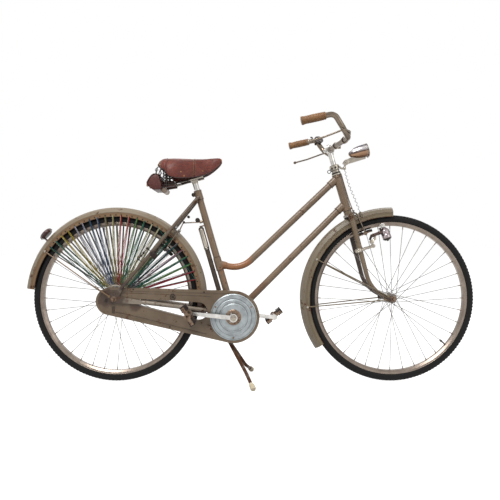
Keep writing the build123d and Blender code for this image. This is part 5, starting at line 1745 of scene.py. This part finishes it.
class BICYCLE_OT_lamp_wire(BicycleOperator, bpy.types.Operator):
    """Winds the curly lead along its route from the lamp's bracket to the mudguard"""

    bl_idname = "bicycle.lamp_wire"
    bl_label = "Lamp wire"

    def execute(self, context):
        route = route_curve(WIRE_ROUTE)
        route.data.resolution_u = 40
        context.view_layer.update()
        line = bpy.data.meshes.new_from_object(route)
        centres = [vertex.co.copy() for vertex in line.vertices]
        bpy.data.objects.remove(route)
        lengths = [0.0]
        for before, after in zip(centres, centres[1:]):
            lengths.append(lengths[-1] + (after - before).length)
        total = lengths[-1]

        def spot(distance):
            """Point and direction at this distance along the route."""
            for index in range(len(lengths) - 1):
                if distance <= lengths[index + 1] or index == len(lengths) - 2:
                    span = lengths[index + 1] - lengths[index]
                    part = (distance - lengths[index]) / span
                    course = (centres[index + 1] - centres[index]).normalized()
                    return centres[index].lerp(centres[index + 1], part), course

        turns = self.settings.coil_turns
        steps = turns * 16
        line_points = []
        for step in range(steps + 1):
            share = step / steps
            centre, course = spot(share * total)
            side = course.cross(Vector((1, 0, 0))).normalized()
            out = course.cross(side)
            swell = WIRE_COIL_RADIUS * min(1.0, share * 14, (1 - share) * 14)
            angle = share * turns * 2 * pi
            line_points.append(centre + (side * cos(angle) + out * sin(angle)) * swell)
        rings = []
        for index, point in enumerate(line_points):
            before = line_points[max(index - 1, 0)]
            after = line_points[min(index + 1, steps)]
            course = (after - before).normalized()
            side = course.cross(Vector((0.3, 1, 0.2))).normalized()
            out = course.cross(side)
            rings.append(ring_about(point, side, out, WIRE_CORE_RADIUS, 8))
        obj = polyline_mesh("curly_lead", rings)
        activate(obj)
        bpy.ops.object.shade_smooth()
        dress(obj, FINISHES["wire"], "steering")
        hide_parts("lamp_wire")
        return {"FINISHED"}


# Brakes, linkages and lock


FRONT_BRAKE_ANGLE = 112.0
REAR_BRAKE_ANGLE = 44.2


def brake_blocks(axle, radius, angle):
    """Two pairs of brake blocks inside a rim, about an angle."""
    blocks = []
    for side in (-1, 1):
        for turn in (-4.0, 4.0):
            spot = wheel_point(axle, radius, angle + turn, side * 0.0115)
            blocks.append(block(spot, (0.026, 0.01, 0.011), (0, radians(90 - angle - turn), 0), 0.0016))
    return blocks


class BICYCLE_OT_brake_fittings(BicycleOperator, bpy.types.Operator):
    """Adds brake blocks, the rear brake's knob and levers, and the frame lock"""

    bl_idname = "bicycle.brake_fittings"
    bl_label = "Brake fittings"

    def execute(self, context):
        blocks = brake_blocks(FRONT_AXLE, 0.295, FRONT_BRAKE_ANGLE)
        shoe = wheel_point(FRONT_AXLE, 0.2945, FRONT_BRAKE_ANGLE)
        holders = []
        for side in (-1, 1):
            spot = Vector((shoe.x, side * 0.012, shoe.z - 0.004))
            tip = radians(90 - FRONT_BRAKE_ANGLE)
            holders.append(block(spot, (0.056, 0.013, 0.004), (0, tip, 0), 0.001))
            holders += bolt((shoe.x, side * 0.033, shoe.z - 0.003), ACROSS * side, 0.005, 0.004)
        assemble("front_brake_blocks", blocks, 35, "pedal_rubber", "steering")
        assemble("front_brake_shoes", holders, 35, "rusty_bright", "steering")

        rear = brake_blocks(REAR_AXLE, 0.293, REAR_BRAKE_ANGLE)
        rear_metal = []
        for side in (-1, 1):
            spot = wheel_point(REAR_AXLE, 0.288, REAR_BRAKE_ANGLE, side * 0.012)
            turn = radians(90 - REAR_BRAKE_ANGLE)
            rear_metal.append(block(spot, (0.056, 0.013, 0.004), (0, turn, 0), 0.001))
            spot = wheel_point(REAR_AXLE, 0.29, REAR_BRAKE_ANGLE, side * 0.039)
            rear_metal += bolt(spot, ACROSS * side, 0.0048, 0.0036)
        assemble("rear_brake_blocks", rear, 35, "tyre", "frame")

        for spot, radius in (
            (Vector((-0.2588, 0.0, 0.6884)), 0.0058), (Vector((-0.2782, 0.0, 0.666)), 0.005),
            (Vector((-0.3007, 0.0, 0.6291)), 0.005),
        ):
            rear_metal.append(cylinder(spot - ACROSS * 0.008, ACROSS, radius, 0.016, 24, 0.0008))
            rear_metal += bolt(spot - ACROSS * 0.008, NEAR, radius * 0.62, 0.0026)
        rear_metal.append(cylinder((-0.2205, -0.012, 0.6749), ACROSS, 0.0095, 0.024, 24, 0.0012))
        rear_metal += bolt((-0.2205, -0.0125, 0.6749), NEAR, 0.0056, 0.0036)
        assemble("rear_brake_linkage", rear_metal, 35, "dark_fitting", "frame")

        lock = [
            block((-0.397, -0.059, 0.531), (0.024, 0.014, 0.03), (0, radians(-38), 0), 0.004),
            cylinder((-0.398, -0.066, 0.532), NEAR, 0.0062, 0.003, 24, 0.0008),
            hoop((-0.393, -0.06, 0.52), ACROSS, 0.007, 0.0018, 24, 8),
        ]
        low_end = Vector((-0.46, -0.058, 0.5105))
        top_end = Vector((-0.4175, -0.058, 0.5625))
        course = (top_end - low_end).normalized()
        lock.append(cylinder(low_end, course, 0.0018, (top_end - low_end).length, 12, 0.0003))
        for share in (0.02, 0.3, 0.52, 0.88):
            spot = low_end.lerp(top_end, share)
            lock.append(cylinder(spot - course * 0.004, course, 0.0048, 0.008, 20, 0.0012))
        for share in (0.02, 0.88):
            spot = low_end.lerp(top_end, share)
            lock.append(cylinder(spot, (0.78, 0, -0.62), 0.0016, 0.018, 12, 0.0003))
        assemble("frame_lock", lock, 35, "dark_fitting", "frame")
        return {"FINISHED"}


# Smaller fittings


class BICYCLE_OT_drive_fittings(BicycleOperator, bpy.types.Operator):
    """Adds cotter pins, dust caps, disc rings, axle nuts and spoke heads"""

    bl_idname = "bicycle.drive_fittings"
    bl_label = "Drive fittings"

    def execute(self, context):
        crank = []
        for side in (-1, 1):
            out = ACROSS * side
            outward = ACROSS * side
            face = side * 0.077
            boss = Vector((BRACKET.x, face, BRACKET.z))
            crank.append(cylinder(boss + out * 0.016, out, 0.013, 0.003, 32, 0.001))
            crank.append(cylinder(boss + out * 0.0185, out, 0.0072, 0.0022, 24, 0.0008))
            turn = radians(CRANK_TURNS[side])
            along = Vector((cos(turn), 0, sin(turn)))
            pin = Vector((-along.z, 0, along.x))
            root = boss + along * 0.011 + out * 0.007 - pin * 0.02
            crank.append(cylinder(root, pin, 0.004, 0.04, 16, 0.0006))
            crank += bolt(root + pin * 0.036, pin, 0.005, 0.0036)
            end = boss + along * CRANK_LENGTH
            crank.append(cylinder(end + out * 0.0138, out, 0.0078, 0.004, 6, 0.0006))
        assemble("crank_fittings", crank, 35, "nickel", "crankset")

        disc_face = -0.0577
        rings = []
        for radius, depth in ((0.0905, 0.005), (0.076, 0.0046), (0.06, 0.0052), (0.053, 0.005)):
            place = Vector((BRACKET.x, disc_face - depth, BRACKET.z))
            rings.append(hoop(place, ACROSS, radius, 0.0008, 96, 6))
        assemble("disc_rings", rings, 40, "disc_line", "frame")
        boss = turned(
            Vector((BRACKET.x, disc_face - 0.006, BRACKET.z)), NEAR,
            [
                (0, 0.0175), (0, 0.033), (0.0016, 0.033), (0.0028, 0.0318), (0.0044, 0.024),
                (0.005, 0.02), (0.005, 0.0175), (0, 0.0175),
            ],
            64,
        )
        assemble("disc_boss", [boss], 40, "rusty_bright", "frame")
        studs = []
        for turn in (30, 150, 270):
            spot = wheel_point(BRACKET, 0.0845, turn)
            studs += screw((spot.x, disc_face - 0.0048, spot.z), NEAR, 0.004)
        assemble("disc_screws", studs, 35, "rusty_bright", "frame")

        for name, axle, inner, body in (
            ("front", FRONT_AXLE, 0.0475, "steering"), ("rear", REAR_AXLE, 0.0605, "frame"),
        ):
            parts = []
            for side in (-1, 1):
                outward = ACROSS * side
                foot = axle + outward * (inner + 0.0052)
                parts.append(cylinder(foot, outward, 0.0115, 0.0013, 28, 0.0003))
                nut = foot + outward * 0.0013
                parts.append(cylinder(nut, outward, 0.0084, 0.0058, 6, 0.0006))
                for thread in range(5):
                    ring_at = nut + outward * (0.0068 + thread * 0.0016)
                    parts.append(hoop(ring_at, ACROSS, 0.0046, 0.0004, 20, 6))
            assemble(f"{name}_axle_nuts", parts, 30, "rusty_bright", body)

        for name, wheel in WHEELS.items():
            parts = []
            for side in (-1, 1):
                flange = wheel["flanges"][0 if side < 0 else 1]
                out = ACROSS * side * 0.0016
                place = wheel["axle"] + ACROSS * (flange + side * 0.0016)
                parts.append(hoop(place, ACROSS, wheel["hole"], 0.0008, 48, 6))
                first = 0 if side < 0 else 10
                for index in range(9):
                    for turn in (first - 64, first + 20 + 64):
                        spot = wheel_point(wheel["axle"], wheel["hole"], index * 40 + turn, flange)
                        parts.append(ball(spot + out, 0.0019, (1, 0.6, 1), 5))
            parts.append(hoop(wheel["axle"], ACROSS, 0.0122 if name == "front" else 0.0172, 0.0011, 40, 8))
            assemble(f"{name}_hub_fittings", parts, 40, "rusty_bright", f"{name}_wheel")
        return {"FINISHED"}


class BICYCLE_OT_dynamo(BicycleOperator, bpy.types.Operator):
    """Builds the dynamo: body, toothed roller, rusty carrier, hinged arm and fork clamp"""

    bl_idname = "bicycle.dynamo"
    bl_label = "Dynamo"

    def execute(self, context):
        centre = Vector((0.557, -0.045, 0.623))
        course = Vector((-0.28, 0.22, 0.93)).normalized()
        foot = centre - course * 0.034
        body = turned(
            foot, course,
            [
                (0.006, 0.0), (0.006, 0.0185), (0.0072, 0.019), (0.008, 0.0182), (0.018, 0.0182),
                (0.019, 0.019), (0.0202, 0.0182), (0.037, 0.0182), (0.038, 0.019), (0.0405, 0.0188),
                (0.044, 0.016), (0.049, 0.0115), (0.0535, 0.008), (0.056, 0.006), (0.056, 0.0),
            ],
            48,
        )
        piece = assemble("dynamo_body", [body], 40, "dynamo_chrome", "steering")
        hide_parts("dynamo")
        roller = [cylinder(foot + course * 0.0545, course, 0.0092, 0.0172, 32, 0.0008)]
        side = course.cross(ACROSS).normalized()
        tooth = block(foot + course * 0.0632 + side * 0.0093, (0.0013, 0.0013, 0.016), aim(course), 0.0003)
        roller.append(around(tooth, foot, tuple(course), 24, 15.0))
        assemble("dynamo_roller", roller, 40, "bright", "steering")
        dark = [
            turned(
                foot, course,
                [(0, 0.0), (0, 0.0105), (0.0012, 0.0125), (0.0058, 0.0184), (0.0064, 0.0184), (0.0064, 0.0)],
                40,
            ),
            cylinder(foot - course * 0.004, course, 0.0046, 0.005, 6, 0.0006),
            block((0.538, -0.051, 0.627), (0.006, 0.015, 0.03), (0, radians(-16), 0), 0.0014),
            block((0.495, -0.059, 0.602), (0.007, 0.016, 0.024), (0, radians(22), 0), 0.0016),
        ]
        assemble("dynamo_cap", dark, 40, "dark_fitting", "steering")
        carrier = [
            wire([(0.54, -0.054, 0.623), (0.515, -0.059, 0.614), (0.495, -0.06, 0.606)], 0.0066, 3),
            hoop((0.529, -0.0565, 0.619), (0.9, 0.1, 0.35), 0.007, 0.0012, 28, 8),
            hoop((0.506, -0.0595, 0.6105), (0.9, 0.1, 0.35), 0.007, 0.0012, 28, 8),
        ]
        assemble("dynamo_carrier", carrier, 40, "rust_red", "steering")
        arm = [
            cylinder((0.4985, -0.054, 0.5835), NEAR, 0.009, 0.013, 32, 0.0014),
            cylinder((0.4985, -0.067, 0.5835), NEAR, 0.005, 0.0016, 24, 0.0005),
            cylinder((0.504, -0.054, 0.567), NEAR, 0.0088, 0.012, 32, 0.0014),
            cylinder((0.511, -0.056, 0.596), NEAR, 0.0052, 0.01, 24, 0.001),
            wire([(0.512, -0.06, 0.606), (0.512, -0.06, 0.596), (0.5, -0.06, 0.584)], 0.0046, 3),
            wire(
                [
                    (0.504, -0.06, 0.567), (0.49, -0.06, 0.561),
                    (0.47, -0.058, 0.556), (0.46, -0.056, 0.551),
                ],
                0.0058, 3,
            ),
        ]
        clamp_at = Vector((0.448, -0.05, 0.548))
        for shift in (-0.0045, 0.0045):
            arm.append(hoop(clamp_at + STEER_UP * shift, STEER_UP, 0.0138, 0.0012, 40, 8))
        arm.append(
            turned(
                clamp_at - STEER_UP * 0.007, STEER_UP,
                [
                    (0, 0.0095), (0, 0.0136), (0.0012, 0.0142), (0.0128, 0.0142), (0.014, 0.0136),
                    (0.014, 0.0095), (0, 0.0095),
                ],
                40,
            )
        )
        arm += bolt(clamp_at + Vector((0.013, -0.006, 0.003)), NEAR, 0.0046, 0.0034)
        arm += bolt(clamp_at + Vector((-0.012, -0.008, -0.002)), NEAR, 0.0046, 0.0034)
        assemble("dynamo_arm", arm, 35, "nickel", "steering")
        return {"FINISHED"}


class BICYCLE_OT_frame_fittings(BicycleOperator, bpy.types.Operator):
    """Adds the pump's rings and handle, lug edges, seat bolt, stand spring and reflector bezel"""

    bl_idname = "bicycle.frame_fittings"
    bl_label = "Frame fittings"

    def execute(self, context):
        seat_back = Vector((-sin(SEAT_ANGLE), 0, -cos(SEAT_ANGLE)))
        pump_line = BRACKET + seat_back * 0.03
        handle = []
        for height, radius in (
            (0.074, 0.0088), (0.078, 0.0106), (0.3, 0.0118), (0.306, 0.0118), (0.386, 0.0116)
        ):
            handle.append(hoop(pump_line + SEAT_UP * height, SEAT_UP, radius - 0.0006, 0.0012, 36, 8))
        handle.append(cylinder(pump_line + SEAT_UP * 0.305, SEAT_UP, 0.01175, 0.08, 36, 0.0014))
        assemble("pump_handle", handle, 40, "nickel", "frame")

        lugs = []
        seat_top = BRACKET + SEAT_UP * 0.547
        for distance in (0.001, 0.04):
            lugs.append(hoop(seat_top - SEAT_UP * distance, SEAT_UP, 0.0166, 0.0009, 48, 8))
        for height in (0.52, 0.466):
            spot = BRACKET + SEAT_UP * ((height - BRACKET_HEIGHT) / SEAT_UP.z)
            lugs.append(hoop(spot, SEAT_UP, 0.0166, 0.0008, 48, 8))
        lower_head = steer_point(0.745)
        upper_head = steer_point(0.853)
        lower_course = (BRACKET - lower_head).normalized()
        upper_course = Vector((-cos(radians(43.5)), 0, -sin(radians(43.5))))
        for root, course in ((lower_head, lower_course), (upper_head, upper_course)):
            lugs.append(hoop(root + course * 0.0455, course, 0.0163, 0.001, 48, 8))
        lugs.append(hoop(BRACKET - lower_course * 0.0455, lower_course, 0.0163, 0.001, 48, 8))
        lugs.append(hoop(BRACKET + SEAT_UP * 0.0455, SEAT_UP, 0.0166, 0.001, 48, 8))
        # painted shade: the lug edge rings take the half-bright copy of the enamel
        assemble("lug_edges", lugs, 40, "guard_edge", "frame")

        bolt_at = seat_top - SEAT_UP * 0.013 + seat_back * 0.0206
        seat = []
        for side in (-1, 1):
            seat += bolt(bolt_at + ACROSS * side * 0.0125, ACROSS * side, 0.005, 0.004)
        assemble("seat_bolt_heads", seat, 30, "dark_fitting", "frame")

        pivot = Vector((-0.118, 0.0, 0.222))
        stand = []
        for side in (-1, 1):
            stand += bolt(pivot + ACROSS * side * 0.0264, ACROSS * side, 0.0074, 0.005)
        stand.append(block((-0.12, 0, 0.2905), (0.036, 0.04, 0.005), (0, 0, 0), 0.001))
        assemble("stand_pivot_nuts", stand, 30, "rusty_bright", "frame")
        coil = []
        start = Vector((-0.1, 0.0, 0.178))
        end = Vector((-0.142, 0.0, 0.236))
        course = (end - start).normalized()
        out = course.cross(ACROSS).normalized()
        for step in range(14 * 12 + 1):
            share = step / 168
            turn = share * 14 * 2 * pi
            coil.append(start + (end - start) * share + (ACROSS * cos(turn) + out * sin(turn)) * 0.0048)
        spring = wire(coil, 0.0011, 1)
        assemble("stand_spring", [spring], 60, "rusty_bright", "stand")

        reflector_foot = wheel_point(REAR_AXLE, 0.394, 138.0)
        reflector_out = (reflector_foot - REAR_AXLE).normalized()
        bezel = [
            hoop(reflector_foot + reflector_out * 0.005, reflector_out, 0.0285, 0.0018, 64, 10),
            hoop(reflector_foot + reflector_out * 0.011, reflector_out, 0.0283, 0.0014, 64, 10),
            cylinder(reflector_foot - reflector_out * 0.001, reflector_out, 0.0238, 0.0012, 48, 0.0004),
        ]
        assemble("reflector_bezel", bezel, 40, "dark_fitting", "frame")
        return {"FINISHED"}


OPERATORS = (
    BICYCLE_OT_stage,
    BICYCLE_OT_finishes,
    BICYCLE_OT_tyres,
    BICYCLE_OT_wheel_fittings,
    BICYCLE_OT_skirt_guards,
    BICYCLE_OT_mudguard_fittings,
    BICYCLE_OT_chain_case_fittings,
    BICYCLE_OT_saddle,
    BICYCLE_OT_saddle_frame,
    BICYCLE_OT_tool_bag,
    BICYCLE_OT_pedals,
    BICYCLE_OT_grips,
    BICYCLE_OT_bell,
    BICYCLE_OT_steering_fittings,
    BICYCLE_OT_lamp,
    BICYCLE_OT_lamp_wire,
    BICYCLE_OT_brake_fittings,
    BICYCLE_OT_drive_fittings,
    BICYCLE_OT_dynamo,
    BICYCLE_OT_frame_fittings,
)


class BICYCLE_PT_parts(bpy.types.Panel):
    """Lists the bicycle's settings and pieces"""

    bl_label = "Bicycle"
    bl_idname = "BICYCLE_PT_parts"
    bl_space_type = "VIEW_3D"
    bl_region_type = "UI"
    bl_category = "Bicycle"

    def draw(self, context):
        settings = context.scene.bicycle
        for name in ("enamel_colour", "tread_count", "cord_twist", "coil_turns"):
            self.layout.prop(settings, name)
        for operator in OPERATORS:
            self.layout.operator(operator.bl_idname)


CLASSES = (BicycleSettings, *OPERATORS, BICYCLE_PT_parts)


def register():
    for kind in CLASSES:
        bpy.utils.register_class(kind)
    bpy.types.Scene.bicycle = PointerProperty(type=BicycleSettings)


def unregister():
    del bpy.types.Scene.bicycle
    for kind in reversed(CLASSES):
        bpy.utils.unregister_class(kind)


def main():
    """Dresses the whole bicycle."""
    register()
    for operator in OPERATORS:
        group, name = operator.bl_idname.split(".")
        getattr(getattr(bpy.ops, group), name)()
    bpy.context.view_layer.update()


if __name__ == "__main__":
    main()
